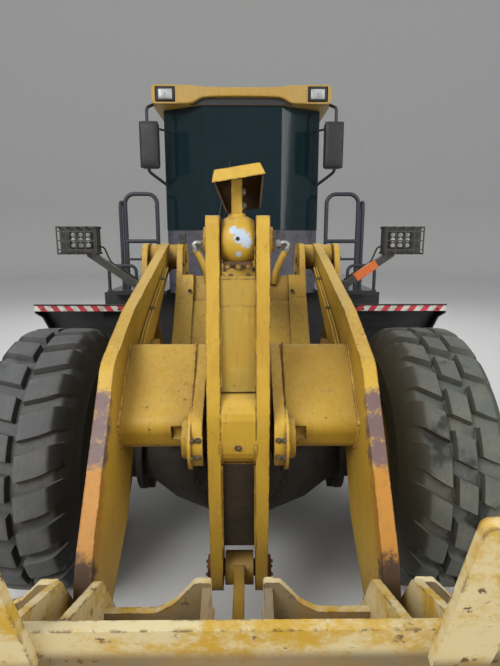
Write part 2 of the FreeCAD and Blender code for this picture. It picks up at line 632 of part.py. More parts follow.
def make_lift_cylinders():
    base, tip = side(ARM_X)(RAM_F, RAM_Z), side(ARM_X)(RAM_EYE_F, RAM_EYE_Z)
    in1 = TOWER_IN_X + TOWER_T / 2 + RUN
    out0 = TOWER_OUT_X - TOWER_T / 2 - RUN
    closed = (tip - base).Length
    eye = cross_rod(RAM_F, RAM_Z, 82, in1, out0)
    body = barrel(base, tip, RAM_BARREL_R, RAM_ROD_R, RAM_BARREL_L, RAM_ROD_L, closed, eye)
    body = cut(body, cross_rod(RAM_F, RAM_Z, 40 + PIN_FIT, 300, 900))
    head = cross_rod(RAM_EYE_F, RAM_EYE_Z, 78, ARM_X - RAM_ROD_R, ARM_X + RAM_ROD_R)
    stem = join(rod(tip, along(tip, base, RAM_ROD_L), RAM_ROD_R), head)
    for name, turn in (("right", lambda s: s), ("left", mirrored)):
        save("lift_barrel_" + name, turn(body))
        save("lift_rod_" + name, turn(stem))


def make_steer_cylinders():
    base = Vector(STEER_BASE[0], HINGE_Y + STEER_BASE[1], STEER_Z)
    tip = Vector(STEER_EYE[0], HINGE_Y + STEER_EYE[1], STEER_Z)
    closed = 762.0
    eye = upright(base.x, base.y, 50, STEER_Z - 30, STEER_Z + 30)
    body = barrel(base, tip, STEER_BARREL_R, STEER_ROD_R, STEER_BARREL_L, STEER_ROD_L, closed, eye)
    body = cut(body, upright(base.x, base.y, 25 + PIN_FIT, STEER_Z - 90, STEER_Z + 90))
    head = upright(tip.x, tip.y, 46, STEER_Z - 30, STEER_Z + 30)
    stem = join(rod(tip, along(tip, base, STEER_ROD_L), STEER_ROD_R), head)
    for name, turn in (("right", lambda s: s), ("left", mirrored)):
        save("steer_barrel_" + name, turn(body))
        save("steer_rod_" + name, turn(stem))


# Bucket

def wall_point(z, inset=0.0):
    """A point of the back wall's rear face at a height, moved forward by inset."""
    lean = math.tan(math.radians(WALL_LEAN))
    return RIM_F + (z - RIM_Z) * lean + inset


def make_bucket():
    half = BUCKET_W / 2
    t = BUCKET_T
    lip = FRONT_REACH - 180
    heel = wall_point(0)
    back = NOSE_F - 176
    step = t / math.cos(math.radians(WALL_LEAN))
    outer = [(heel, 0, HEEL_R), (lip, 0), (lip, t), (wall_point(t, step), t, HEEL_R - t),
             (wall_point(RIM_Z, step), RIM_Z), (RIM_F, RIM_Z)]
    shell = side_plate(outer, -half, half)
    cheek = [(heel, 0, HEEL_R), (FRONT_REACH - 60, 0, 10), (FRONT_REACH - 60, 60),
             (FRONT_REACH - 340, 330, 150), (RIM_F + 270, 1010, 150), (RIM_F + 130, RIM_Z, 60),
             (RIM_F, RIM_Z)]
    cheeks = both(side_plate(cheek, half - 28, half))
    rim = side_plate([(RIM_F - 30, RIM_Z - 50), (RIM_F + step, RIM_Z - 50), (RIM_F + step + 12, RIM_Z),
                      (RIM_F - 12, RIM_Z)], -half, half)
    cavity = side_plate([(wall_point(t, step), t, HEEL_R - t), (FRONT_REACH + 200, t),
                         (FRONT_REACH + 200, 2200), (wall_point(2200, step), 2200)], -half + 28, half - 28)
    ear = [(wall_point(1150, 12), 1150), (NOSE_F - 35, 975, 25), (back, 740, 40),
           (NOSE_F - 118, NOSE_Z - 120, 105), (NOSE_F + 90, NOSE_Z - 155, 40),
           (wall_point(HEEL_R, 20) + 20, 200), (wall_point(HEEL_R, 40), HEEL_R + 60)]
    ears = [side_plate(ear, x - EAR_T / 2, x + EAR_T / 2) for x in (EAR_X, EAR_OUTER_X)]
    low = [(back, 740), (NOSE_F + 348, 973), (NOSE_F + 348, 950), (back, 717)]
    inner_shelf = side_plate(low, 92, EAR_X - EAR_T / 2)
    outer_shelf = side_plate(low, EAR_OUTER_X + EAR_T / 2, 1080)
    y0, y1 = front_y(NOSE_F - 25), front_y(NOSE_F - 55)
    hook = front_plate([(92, 790), (92, 970, 12), (150, 970, 30), (225, 885, 60), (290, 850, 60),
                        (EAR_X, 850), (EAR_X, 790)], y0, y1)
    wing = front_plate([(EAR_OUTER_X, 790), (EAR_OUTER_X, 968, 10), (700, 968, 20), (770, 896, 40),
                        (960, 850, 60), (1060, 800)], y0, y1)
    f = LINK_FRONT_F
    lug = side_plate([(f - 80, 800), (f - 80, 640, 60), (f + 5, 590, 60), (f + 85, 640, 60), (f + 145, 860),
                      (f - 45, 960)], 92, 124)
    brace = side_plate([(back, 740), (NOSE_F - 70, 560), (wall_point(600), 600), (wall_point(900), 900)],
                       1060, 1080)
    head = cross_rod(LINK_FRONT_F, LINK_FRONT_Z, 52, 124, 138)
    half_parts = join(*ears, inner_shelf, outer_shelf, hook, wing, lug, brace, head)
    lean = math.radians(WALL_LEAN)
    post = face([(495.5, -130), (495.5, 415, 20), (640, 415, 110), (640, -130)],
                lambda x, s: Vector(x, front_y(RIM_F + step + s * math.sin(lean)),
                                    RIM_Z + s * math.cos(lean)))
    post = post.extrude(Vector(0, -28 * math.cos(lean), -28 * math.sin(lean)))
    gusset = side_plate([(RIM_F + step - 2, RIM_Z - 5), (RIM_F + step + 85, RIM_Z + 230),
                         (RIM_F + step + 30, RIM_Z + 230),
                         (RIM_F - 40, RIM_Z - 5)], 612, 636)
    bucket = cut(join(shell, *cheeks, rim, half_parts, mirrored(half_parts)), cavity)
    bucket = join(bucket, *both(join(post, gusset)))
    bore = cross_rod(NOSE_F, NOSE_Z, BUCKET_PIN_R + PIN_FIT, -900, 900)
    save("bucket", cut(bucket, bore))
    edge = side_plate([(lip + SEAT, 0), (FRONT_REACH, 0), (FRONT_REACH, 6), (FRONT_REACH - 70, 40),
                       (lip + SEAT, 40)],
                      -half + 28 + SEAT, half - 28 - SEAT)
    save("cutting_edge", edge)


# Rear frame and body

def make_rear_chassis():
    in0, in1 = CHASSIS_X - CHASSIS_T / 2, CHASSIS_X + CHASSIS_T / 2
    front, back = CHASSIS_FRONT_Y, CHASSIS_BACK_Y
    rail = box(in0, in1, front, back, CHASSIS_LOW_Z, CHASSIS_TOP_Z)
    rail = cut(rail, box(in0 - 1, in1 + 1, REAR_AXLE_Y - 330, REAR_AXLE_Y + 330,
                         CHASSIS_LOW_Z - 1, FRAME_SADDLE_Z))
    floor = [box(-in0, in0, front, REAR_AXLE_Y - 420, CHASSIS_LOW_Z, CHASSIS_LOW_Z + 25),
             box(-in0, in0, REAR_AXLE_Y + 500, back, CHASSIS_LOW_Z, CHASSIS_LOW_Z + 25)]
    shapes = [*both(rail), *floor]
    for z in (LUG_LOW_Z, LUG_HIGH_Z):
        for low in (z - RUN - LUG_T, z + LUG_T + RUN):
            fork = plan_plate([(-LUG_R, HINGE_Y), (LUG_R, HINGE_Y), (in1, front + 30), (in1, front + 110),
                               (-in1, front + 110), (-in1, front + 30)], low, low + LUG_T)
            shapes += [fork, upright(0, HINGE_Y, LUG_R, low, low + LUG_T)]
        shapes.append(upright(0, HINGE_Y, HINGE_PIN_R, z - RUN - LUG_T - 20, z + 2 * LUG_T + RUN + 20))
    shapes.append(box(-190, 190, front + 10, front + 40, LUG_LOW_Z, LUG_HIGH_Z + LUG_T))
    shapes.append(box(-in0, in0, front + 80, front + 110, LUG_HIGH_Z - 80, LUG_HIGH_Z + 90))
    feet = box(in0 - 50, in1 + 50, CAB_BACK_Y - 200, CAB_BACK_Y - 80, CHASSIS_TOP_Z - 1, CAB_FLOOR_Z)
    shapes += both(feet)
    chassis = join(*shapes)
    x, y = STEER_BASE[0], HINGE_Y + STEER_BASE[1]
    window = box(in0 - 1, in1 + 1, front - 1, y + 85, STEER_Z - 80, STEER_Z + 80)
    chassis = cut(chassis, *both(window))
    for z in (STEER_Z - STEER_EAR_Z - STEER_EAR_T, STEER_Z + STEER_EAR_Z):
        ear = plan_plate([(in0, y - 90), (x + 60, y - 60, 50), (x + 60, y + 60, 50), (in0, y + 90)],
                         z, z + STEER_EAR_T)
        chassis = join(chassis, *both(ear))
    pin = upright(x, y, 25, STEER_Z - STEER_EAR_Z - STEER_EAR_T - 8, STEER_Z + STEER_EAR_Z + STEER_EAR_T + 8)
    return join(chassis, *both(pin))


def cab_plan(inset):
    """Cab outline in plan, moved inwards by inset."""
    slope = math.atan2(CAB_FACET_Y - CAB_FRONT_Y, CAB_HALF_W - CAB_FACET_X)
    facet = inset * math.tan(slope / 2)
    corner = inset * math.tan((math.pi / 2 - slope) / 2)
    right = [(CAB_FACET_X - facet, CAB_FRONT_Y + inset), (CAB_HALF_W - inset, CAB_FACET_Y + corner),
             (CAB_HALF_W - inset, CAB_BACK_Y - inset)]
    return right + [(-x, y) for x, y in reversed(right)]


def make_cab():
    shell = plan_plate(cab_plan(0), CAB_FLOOR_Z, CAB_EAVES_Z)
    room = plan_plate(cab_plan(CAB_WALL), CAB_FLOOR_Z + 40, CAB_EAVES_Z - 40)
    top = CAB_EAVES_Z - 60
    pane_x = CAB_FACET_X - GLASS_EDGE
    windscreen = box(-pane_x, pane_x, CAB_FRONT_Y - 50, CAB_FRONT_Y + 100, SILL_Z, top)
    slope = math.atan2(CAB_FACET_Y - CAB_FRONT_Y, CAB_HALF_W - CAB_FACET_X)
    run = math.hypot(CAB_FACET_Y - CAB_FRONT_Y, CAB_HALF_W - CAB_FACET_X)
    quarter_w = run - GLASS_EDGE - 48
    quarter = Part.makeBox(quarter_w, 200, top - SILL_Z, Vector(GLASS_EDGE, -50, 0))
    quarter.rotate(Vector(0, 0, 0), Vector(0, 0, 1), math.degrees(slope))
    quarter.translate(Vector(CAB_FACET_X, CAB_FRONT_Y, SILL_Z))
    doorway = box(CAB_HALF_W - 100, CAB_HALF_W + 50, DOOR_Y0, DOOR_Y1, CAB_FLOOR_Z + 40, top)
    side_light = box(CAB_HALF_W - 100, CAB_HALF_W + 50, DOOR_Y1 + 70, CAB_BACK_Y - 80, SILL_Z, top)
    rear_light = box(-CAB_HALF_W + 110, CAB_HALF_W - 110, CAB_BACK_Y - 100, CAB_BACK_Y + 50, SILL_Z, top)
    shell = cut(shell, room, windscreen, rear_light, *both(quarter), *both(doorway), *both(side_light))
    save("cab_shell", shell)

    thin = plan_plate(cab_plan(CAB_WALL / 2 - GLASS_T / 2), SILL_Z, top)
    thin = cut(thin, plan_plate(cab_plan(CAB_WALL / 2 + GLASS_T / 2), SILL_Z - 1, top + 1))
    fit = SEAT
    panes = [box(-pane_x + fit, pane_x - fit, CAB_FRONT_Y - 50, CAB_FRONT_Y + 100, SILL_Z + fit, top - fit),
             box(-CAB_HALF_W + 110 + fit, CAB_HALF_W - 110 - fit, CAB_BACK_Y - 100, CAB_BACK_Y + 50,
                 SILL_Z + fit, top - fit)]
    small = Part.makeBox(quarter_w - 2 * fit, 200, top - SILL_Z - 2 * fit, Vector(GLASS_EDGE + fit, -50, fit))
    small.rotate(Vector(0, 0, 0), Vector(0, 0, 1), math.degrees(slope))
    small.translate(Vector(CAB_FACET_X, CAB_FRONT_Y, SILL_Z))
    panes += both(small)
    panes += both(box(CAB_HALF_W - 100, CAB_HALF_W + 50, DOOR_Y1 + 70 + fit, CAB_BACK_Y - 80 - fit,
                      SILL_Z + fit, top - fit))
    save("cab_glass", *[thin.common(pane) for pane in panes])

    y0 = ROOF_FRONT_Y
    roof = roof_body()
    dip = box(-CAB_FACET_X + 60, CAB_FACET_X - 60, y0 - 1, y0 + 300, ROOF_TOP_Z - 18, ROOF_TOP_Z + 1)
    under = box(-CAB_FACET_X + 60, CAB_FACET_X - 60, y0 - 1, y0 + 19, CAB_EAVES_Z - 1, CAB_EAVES_Z + 50)
    save("cab_roof", cut(roof, dip, under))


def roof_body():
    half, y0, y1 = ROOF_HALF_W, ROOF_FRONT_Y, CAB_BACK_Y + 120
    return plan_plate([(-half, y0, 90), (half, y0, 90), (half, y1, 90), (-half, y1, 90)],
                      CAB_EAVES_Z, ROOF_TOP_Z)


def make_doors():
    x0, x1 = CAB_HALF_W - CAB_WALL, CAB_HALF_W
    y0, y1 = DOOR_Y0 + DOOR_GAP, DOOR_Y1 - DOOR_GAP
    z0, z1 = CAB_FLOOR_Z + 40 + DOOR_GAP, CAB_EAVES_Z - 60 - DOOR_GAP
    panel = box(x0, x1, y0, y1, z0, z1)
    window = (y0 + 55, y1 - 55, z0 + 260, z1 - 55)
    panel = cut(panel, box(x0 - 1, x1 + 1, *window))
    knuckles = [upright(x1 + 22, DOOR_Y1 + 12, 12, z, z + 70) for z in (z0 + 200, z1 - 300)]
    leaves = [box(x1, x1 + 14, y1 - 60, DOOR_Y1 + 8, z, z + 70) for z in (z0 + 200, z1 - 300)]
    handle = box(x1, x1 + 30, y0 + 60, y0 + 90, z0 + 150, z0 + 210)
    door = join(panel, *knuckles, *leaves, handle)
    mid = (x0 + x1) / 2
    glass = box(mid - GLASS_T / 2, mid + GLASS_T / 2, window[0] + SEAT, window[1] - SEAT,
                window[2] + SEAT, window[3] - SEAT)
    for name, turn in (("right", lambda s: s), ("left", mirrored)):
        save("door_" + name, turn(door))
        save("door_glass_" + name, turn(glass))


def make_cab_inside():
    floor, y = CAB_FLOOR_Z + 40, CAB_FRONT_Y
    base = box(-180, 180, y + 820, y + 1170, floor, floor + 280)
    cushion = plan_plate([(-260, y + 730, 60), (260, y + 730, 60), (260, y + 1230, 60), (-260, y + 1230, 60)],
                         floor + 280, floor + 420)
    back = front_plate([(-250, floor + 420), (250, floor + 420), (230, floor + 980, 90),
                        (-230, floor + 980, 90)], y + 1130, y + 1250)
    rest = front_plate([(-130, floor + 980), (130, floor + 980), (120, floor + 1160, 40),
                        (-120, floor + 1160, 40)], y + 1150, y + 1230)
    save("seat", join(base, cushion, back, rest))
    column = cut(rod(Vector(0, y + 381, floor - 40), Vector(0, y + 530, floor + 640), 55),
                 box(-100, 100, y + 270, y + 570, floor - 100, floor))
    axis = Vector(0, 140, 640).normalize()
    centre = Vector(0, y + 535, floor + 665)
    wheel = cut(rod(centre - axis * 14, centre + axis * 14, 214),
                rod(centre - axis * 20, centre + axis * 20, 186))
    spokes = []
    for turn in (90, 210, 330):
        spoke = Part.makeBox(200, 30, 16, Vector(0, -15, -8))
        spoke.rotate(Vector(0, 0, 0), Vector(0, 0, 1), turn)
        spoke.rotate(Vector(0, 0, 0), Vector(1, 0, 0), -math.degrees(math.atan2(axis.y, axis.z)))
        spoke.translate(centre)
        spokes.append(spoke)
    hub = rod(centre - axis * 60, centre + axis * 14, 45)
    panel = box(-240, 240, y + 130, y + 240, floor, floor + 560)
    dash = box(-240, 240, y + 130, y + 420, floor + 480, floor + 600)
    lever = box(300, 420, y + 670, y + 1170, floor, floor + 480)
    save("steering_console", join(column, wheel, *spokes, hub, panel, dash), lever)


def make_mirrors():
    x, y = MIRROR_X + 25, CAB_FRONT_Y + 30
    arm = bent_tube([Vector(x - 100, y + 90, CAB_EAVES_Z + 60), Vector(x, y - 40, CAB_EAVES_Z - 20),
                     Vector(x, y - 40, CAB_EAVES_Z - 570),
                     Vector(x - 160, y + 165, CAB_EAVES_Z - 690)], 14, 50)
    brace = rod(Vector(x, y - 40, CAB_EAVES_Z - 180), Vector(x - 160, y + 165, CAB_EAVES_Z - 180), 10)
    cab = plan_plate(cab_plan(0), CAB_FLOOR_Z, CAB_EAVES_Z)
    arm, brace = cut(arm, cab, roof_body()), cut(brace, cab)
    x0, x1 = MIRROR_X - 85, MIRROR_X + 85
    z0, z1 = CAB_EAVES_Z - 550, CAB_EAVES_Z - 150
    head = front_plate([(x0, z0, 30), (x1, z0, 30), (x1, z1, 30), (x0, z1, 30)], y - 110, y - 50)
    return both(join(arm, brace, head))


def make_lamps():
    y, z = ROOF_FRONT_Y, ROOF_TOP_Z
    lamp = join(box(590, 760, y - 40, y, z - 140, z - 15), box(605, 745, y - 52, y - 40, z - 125, z - 30))
    floor = CHASSIS_TAIL_Y - TAIL_RECESS
    tail = box(TAIL_LAMP_X - 100, TAIL_LAMP_X + 100, floor, floor + 32, 1100, 1180)
    return both(lamp) + both(tail)


def make_handrails():
    y, z0, z1 = CAB_FRONT_Y + 40, PLATFORM_TOP_Z, 2565
    outer, inner = 1100, 800
    hoop = bent_tube([Vector(outer, y, z0), Vector(outer, y, z1),
                      Vector(inner, y, z1), Vector(inner, y, z0)], 19, 90)
    bars = [rod(Vector(inner, y, z), Vector(outer, y, z), r) for z, r in ((2130, 19), (1960, 12))]
    side_rail = bent_tube([Vector(1150, y + 10, z0), Vector(1150, y + 10, 2500), Vector(1150, y + 150, 2500),
                           Vector(1150, y + 150, z0)], 16, 60)
    step = bent_tube([Vector(1020, y - 20, z0), Vector(1020, y - 20, 1900), Vector(1280, y - 20, 1900),
                      Vector(1280, y - 20, z0)], 16, 60)
    return both(join(hoop, *bars)) + both(side_rail) + both(step)


def make_platforms():
    y0, y1 = CAB_FRONT_Y, REAR_AXLE_Y - 480
    deck = box(CAB_HALF_W + 2, PLATFORM_X, y0, y1, PLATFORM_TOP_Z - PLATFORM_T, PLATFORM_TOP_Z)
    under = join(box(CHASSIS_X + CHASSIS_T / 2, 1000, y0 + 300, y0 + 720, 1045, PLATFORM_TOP_Z - PLATFORM_T),
                 box(520, 1000, y0 + 300, y0 + 720, 800, 1045))
    rails = [box(1080, 1400, y, y + 20, 480, PLATFORM_TOP_Z - PLATFORM_T) for y in (y0 + 240, y0 + 730)]
    above = box(1000, 1500, y0 + 140, y0 + 840, PLATFORM_TOP_Z - PLATFORM_T - 1, 2000)
    rails = [cut(rail, above) for rail in rails]
    steps = [box(1080, 1400, y0 + 240, y0 + 750, z, z + 30) for z in (480, 860, 1240)]
    tie = box(1000, 1080, y0 + 440, y0 + 500, 900, 960)
    tie_top = box(1000, 1110, y0 + 440, y0 + 500, 1250, 1262)
    return both(join(deck, under, *rails, *steps, tie, tie_top))


def make_rear_fenders():
    y, z = REAR_AXLE_Y, PLATFORM_TOP_Z
    path = [(-470, z), (560, z, 100), (760, 1580, 60), (900, 1380)]
    top = [(y + a, b, *r) for a, b, *r in path]
    low = [(y + a, b - 14, *r) for a, b, *r in reversed(path)]
    sheet = face(top + low, lambda a, b: Vector(HOOD_HALF_W + 230, a, b)).extrude(Vector(600, 0, 0))
    bracket = box(HOOD_HALF_W, HOOD_HALF_W + 260, y + 50, y + 250, 1630, z - 14)
    return both(join(sheet, bracket))


def hood_body(half, inset=0.0):
    """The hood's outer form as one block, or the space inside its sheets."""
    y0, y1 = HOOD_FRONT_Y + inset, HOOD_BACK_Y - inset
    low = CHASSIS_TOP_Z - inset
    top = HOOD_TOP_Z - inset
    points = [(y0, low), (y0, top, 60), (HOOD_FRONT_Y + 870, top - 40, 400), (y1, top - 260, 150), (y1, low)]
    return face(points, lambda y, z: Vector(-half, y, z)).extrude(Vector(2 * half, 0, 0))


def make_hood():
    half, t = HOOD_HALF_W, HOOD_T
    y1 = HOOD_BACK_Y
    shell = cut(hood_body(half), hood_body(half - t, t))
    slots = []
    for i in range(7):
        y = HOOD_FRONT_Y + 170 + i * 190
        slots.append(box(half - t - 5, half + 5, y, y + 90, 1650, 2050))
    mouth = box(-half + 110, half - 110, y1 - t - 5, y1 + 5, 1330, 2020)
    save("hood", cut(shell, mouth, *slots, *[mirrored(s) for s in slots]))
    frame = cut(box(-half + 110 + SEAT, half - 110 - SEAT, y1 - t, y1, 1330 + SEAT, 2020 - SEAT),
                box(-half + 150, half - 150, y1 - t - 1, y1 + 1, 1370, 1980))
    slats = [box(-half + 145, half - 145, y1 - t + 5, y1 - 8, z, z + 22) for z in range(1400, 1970, 60)]
    posts = [box(x - 12, x + 12, y1 - t + 2, y1 - 4, 1365, 1985) for x in (-220, 0, 220)]
    save("rear_grille", join(frame, *slats, *posts))


def make_counterweight():
    back = CHASSIS_TAIL_Y
    block = plan_plate([(-1150, CHASSIS_BACK_Y), (1150, CHASSIS_BACK_Y),
                        (1150, back - 120, 60), (1020, back, 90),
                        (-1020, back, 90), (-1150, back - 120, 60)], 760, CHASSIS_TOP_Z)
    notch = box(-120, 120, back - 160, back + 1, TOW_JAW_Z, TOW_JAW_Z + 100)
    tow_bore = upright(0, back - 80, TOW_PIN_R, 700, 1100)
    eye_z = CHASSIS_TOP_Z + 70
    lug = join(box(1010, 1050, back - 330, back - 170, CHASSIS_TOP_Z, eye_z),
               rod(Vector(1010, back - 250, eye_z), Vector(1050, back - 250, eye_z), 80))
    eye = rod(Vector(1000, back - 250, eye_z), Vector(1060, back - 250, eye_z), LIFT_EYE_R)
    recess = box(TAIL_LAMP_X - 110, TAIL_LAMP_X + 110, back - TAIL_RECESS, back + 1, 1090, 1190)
    return cut(join(block, *both(lug)), notch, tow_bore, *both(recess), *both(eye))


def make_exhaust():
    y = HOOD_FRONT_Y + 320
    z = HOOD_TOP_Z - 70
    stack = join(upright(330, y, 95, z, z + 400), upright(330, y, 55, z + 390, z + 700))
    intake = join(upright(-300, y - 40, 70, z, z + 350), upright(-300, y - 40, 125, z + 340, z + 510))
    body = hood_body(HOOD_HALF_W)
    return cut(stack, body), cut(intake, body)


def main():
    os.makedirs("parts", exist_ok=True)
    make_wheels()
    save("front_axle", make_axle(FRONT_AXLE_Y))
    save("rear_axle", make_axle(REAR_AXLE_Y))
    save("front_frame", make_front_frame())
    save("front_fenders", *make_front_fenders())
    save("work_lamps", *make_work_lamps())
    save("lift_arms", make_lift_arms())
    save("rocker", make_rocker())
    save("tilt_link", make_link())
    make_pins()
    make_tilt_cylinder()
    make_lift_cylinders()
    make_steer_cylinders()
    make_bucket()
    save("rear_chassis", make_rear_chassis())
    make_cab()
    make_doors()
    make_cab_inside()
    save("mirrors", *make_mirrors())
    save("lamps", *make_lamps())
    save("handrails", *make_handrails())
    save("platforms", *make_platforms())
    save("rear_fenders", *make_rear_fenders())
    make_hood()
    save("counterweight", make_counterweight())
    save("exhaust_and_intake", *make_exhaust())
    save("engine_block", box(-CHASSIS_X, CHASSIS_X, HOOD_FRONT_Y + 70, HOOD_BACK_Y - 500,
                             CHASSIS_TOP_Z, HOOD_TOP_Z - 270))


main()
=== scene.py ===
import bmesh
import bpy
import numpy as np
from math import pi, radians
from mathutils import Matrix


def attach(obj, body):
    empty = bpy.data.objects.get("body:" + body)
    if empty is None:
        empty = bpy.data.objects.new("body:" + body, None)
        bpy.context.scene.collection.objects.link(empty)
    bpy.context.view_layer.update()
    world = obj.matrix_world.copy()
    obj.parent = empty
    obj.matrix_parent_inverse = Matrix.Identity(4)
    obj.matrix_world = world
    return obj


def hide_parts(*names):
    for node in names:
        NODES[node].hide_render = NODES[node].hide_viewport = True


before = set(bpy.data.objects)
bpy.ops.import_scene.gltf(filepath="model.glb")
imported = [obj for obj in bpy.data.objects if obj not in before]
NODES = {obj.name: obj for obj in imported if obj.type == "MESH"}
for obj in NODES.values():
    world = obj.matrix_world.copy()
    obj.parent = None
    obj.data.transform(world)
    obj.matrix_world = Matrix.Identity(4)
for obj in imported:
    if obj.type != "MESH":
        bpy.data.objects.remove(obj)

# Finishes and fine pieces of an articulated wheel loader. Metres; the front faces -Y,
# +Z is up and X is across. Each function's docstring gives its shape's formula.

FRONT, REAR, UP, RIGHT = (0, -1, 0), (0, 1, 0), (0, 0, 1), (1, 0, 0)
SIDES = (("left", -1), ("right", 1))
AXLES = {"front": -1.15, "rear": 2.15}
HUB_X, HUB_Z = 1.125, 0.8

# Pivots of the linkage, as (y, z).
ARM_PIVOT, BUCKET_PIVOT, ROCKER_PIVOT = (-0.43, 2.02), (-2.62, 0.39), (-2.10, 1.30)
ROD_EYE, TILT_FOOT, LINK_PIN = (-2.02, 2.15), (-0.65, 1.85), (-2.05, 0.62)
LIFT_FOOT, LIFT_EYE = (-0.10, 1.05), (-1.30, 1.30)
BOSS_R = 0.107            # round the rocker's pivot
WEB_X = 0.0735            # half the width between the rocker's plates

SAME_POINT = 1e-6
SHARP_FROM = radians(38)

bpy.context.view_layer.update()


# Camera, light and floor

CAMERA_AT = (0.03, -4.08, 2.16)
CAMERA_DOWN = 11.2          # degrees below level
CAMERA_RIGHT = 0.56
FOCAL_PX = 480.0            # in a frame 666 pixels high
FRAME_HEIGHT_PX = 666.0
SENSOR = 36.0


def set_camera():
    lens = bpy.data.cameras.new("camera")
    lens.sensor_width = SENSOR
    lens.lens = FOCAL_PX / FRAME_HEIGHT_PX * SENSOR
    lens.clip_end = 100
    camera = bpy.data.objects.new("camera", lens)
    camera.location = CAMERA_AT
    camera.rotation_euler = (radians(90 - CAMERA_DOWN), 0, radians(-CAMERA_RIGHT))
    bpy.context.scene.collection.objects.link(camera)
    bpy.context.scene.camera = camera


def area_lamp(name, place, aim, size, watts):
    lamp = bpy.data.lights.new(name, "AREA")
    lamp.size = size
    lamp.energy = watts
    holder = bpy.data.objects.new(name, lamp)
    holder.location = place
    towards = np.subtract(aim, place)
    flat = np.hypot(towards[0], towards[1])
    holder.rotation_euler = (pi / 2 + np.arctan2(towards[2], flat), 0, np.arctan2(-towards[0], towards[1]))
    bpy.context.scene.collection.objects.link(holder)


def set_light():
    area_lamp("key_lamp", (-5.0, -8.0, 7.0), (0, -1.5, 1.2), 5.0, 750)
    area_lamp("fill_lamp", (6.5, -6.5, 4.5), (0, -1.5, 1.2), 6.0, 380)
    area_lamp("back_lamp", (0.0, 9.0, 7.5), (0, 0.5, 1.5), 6.0, 500)
    world = bpy.data.worlds.new("studio")
    world.use_nodes = True
    sky = world.node_tree.nodes["Background"]
    sky.inputs["Color"].default_value = (0.86, 0.88, 0.9, 1)
    sky.inputs["Strength"].default_value = 0.62
    bpy.context.scene.world = world
    bpy.context.scene.view_settings.view_transform = "Standard"


# Shader maths

def srgb(*channels):
    """Linear colour of 0 to 255 display values."""
    c = np.array(channels) / 255.0
    return (*np.where(c <= 0.04045, c / 12.92, ((c + 0.055) / 1.055) ** 2.4), 1.0)


class Value:
    """A number socket; arithmetic on it adds the Math nodes that work it out."""

    def __init__(self, finish, socket):
        self.finish = finish
        self.socket = socket

    def math(self, operation, *others):
        return self.finish.number("Math", {"operation": operation}, self, *others)

    def __add__(self, other):
        return self.math("ADD", other)

    def __sub__(self, other):
        return self.math("SUBTRACT", other)

    def __rsub__(self, other):
        return self.finish.number("Math", {"operation": "SUBTRACT"}, other, self)

    def __mul__(self, other):
        return self.math("MULTIPLY", other)

    def __or__(self, other):
        return self.math("MAXIMUM", other)

    __radd__ = __add__
    __rmul__ = __mul__

    def between(self, start, end):
        """0 below start, 1 above end, smooth between; start may be the higher one."""
        if start > end:
            return 1 - self.between(end, start)
        return self.finish.number("MapRange", {"interpolation_type": "SMOOTHSTEP"}, self, start,
                                  end, 0.0, 1.0)


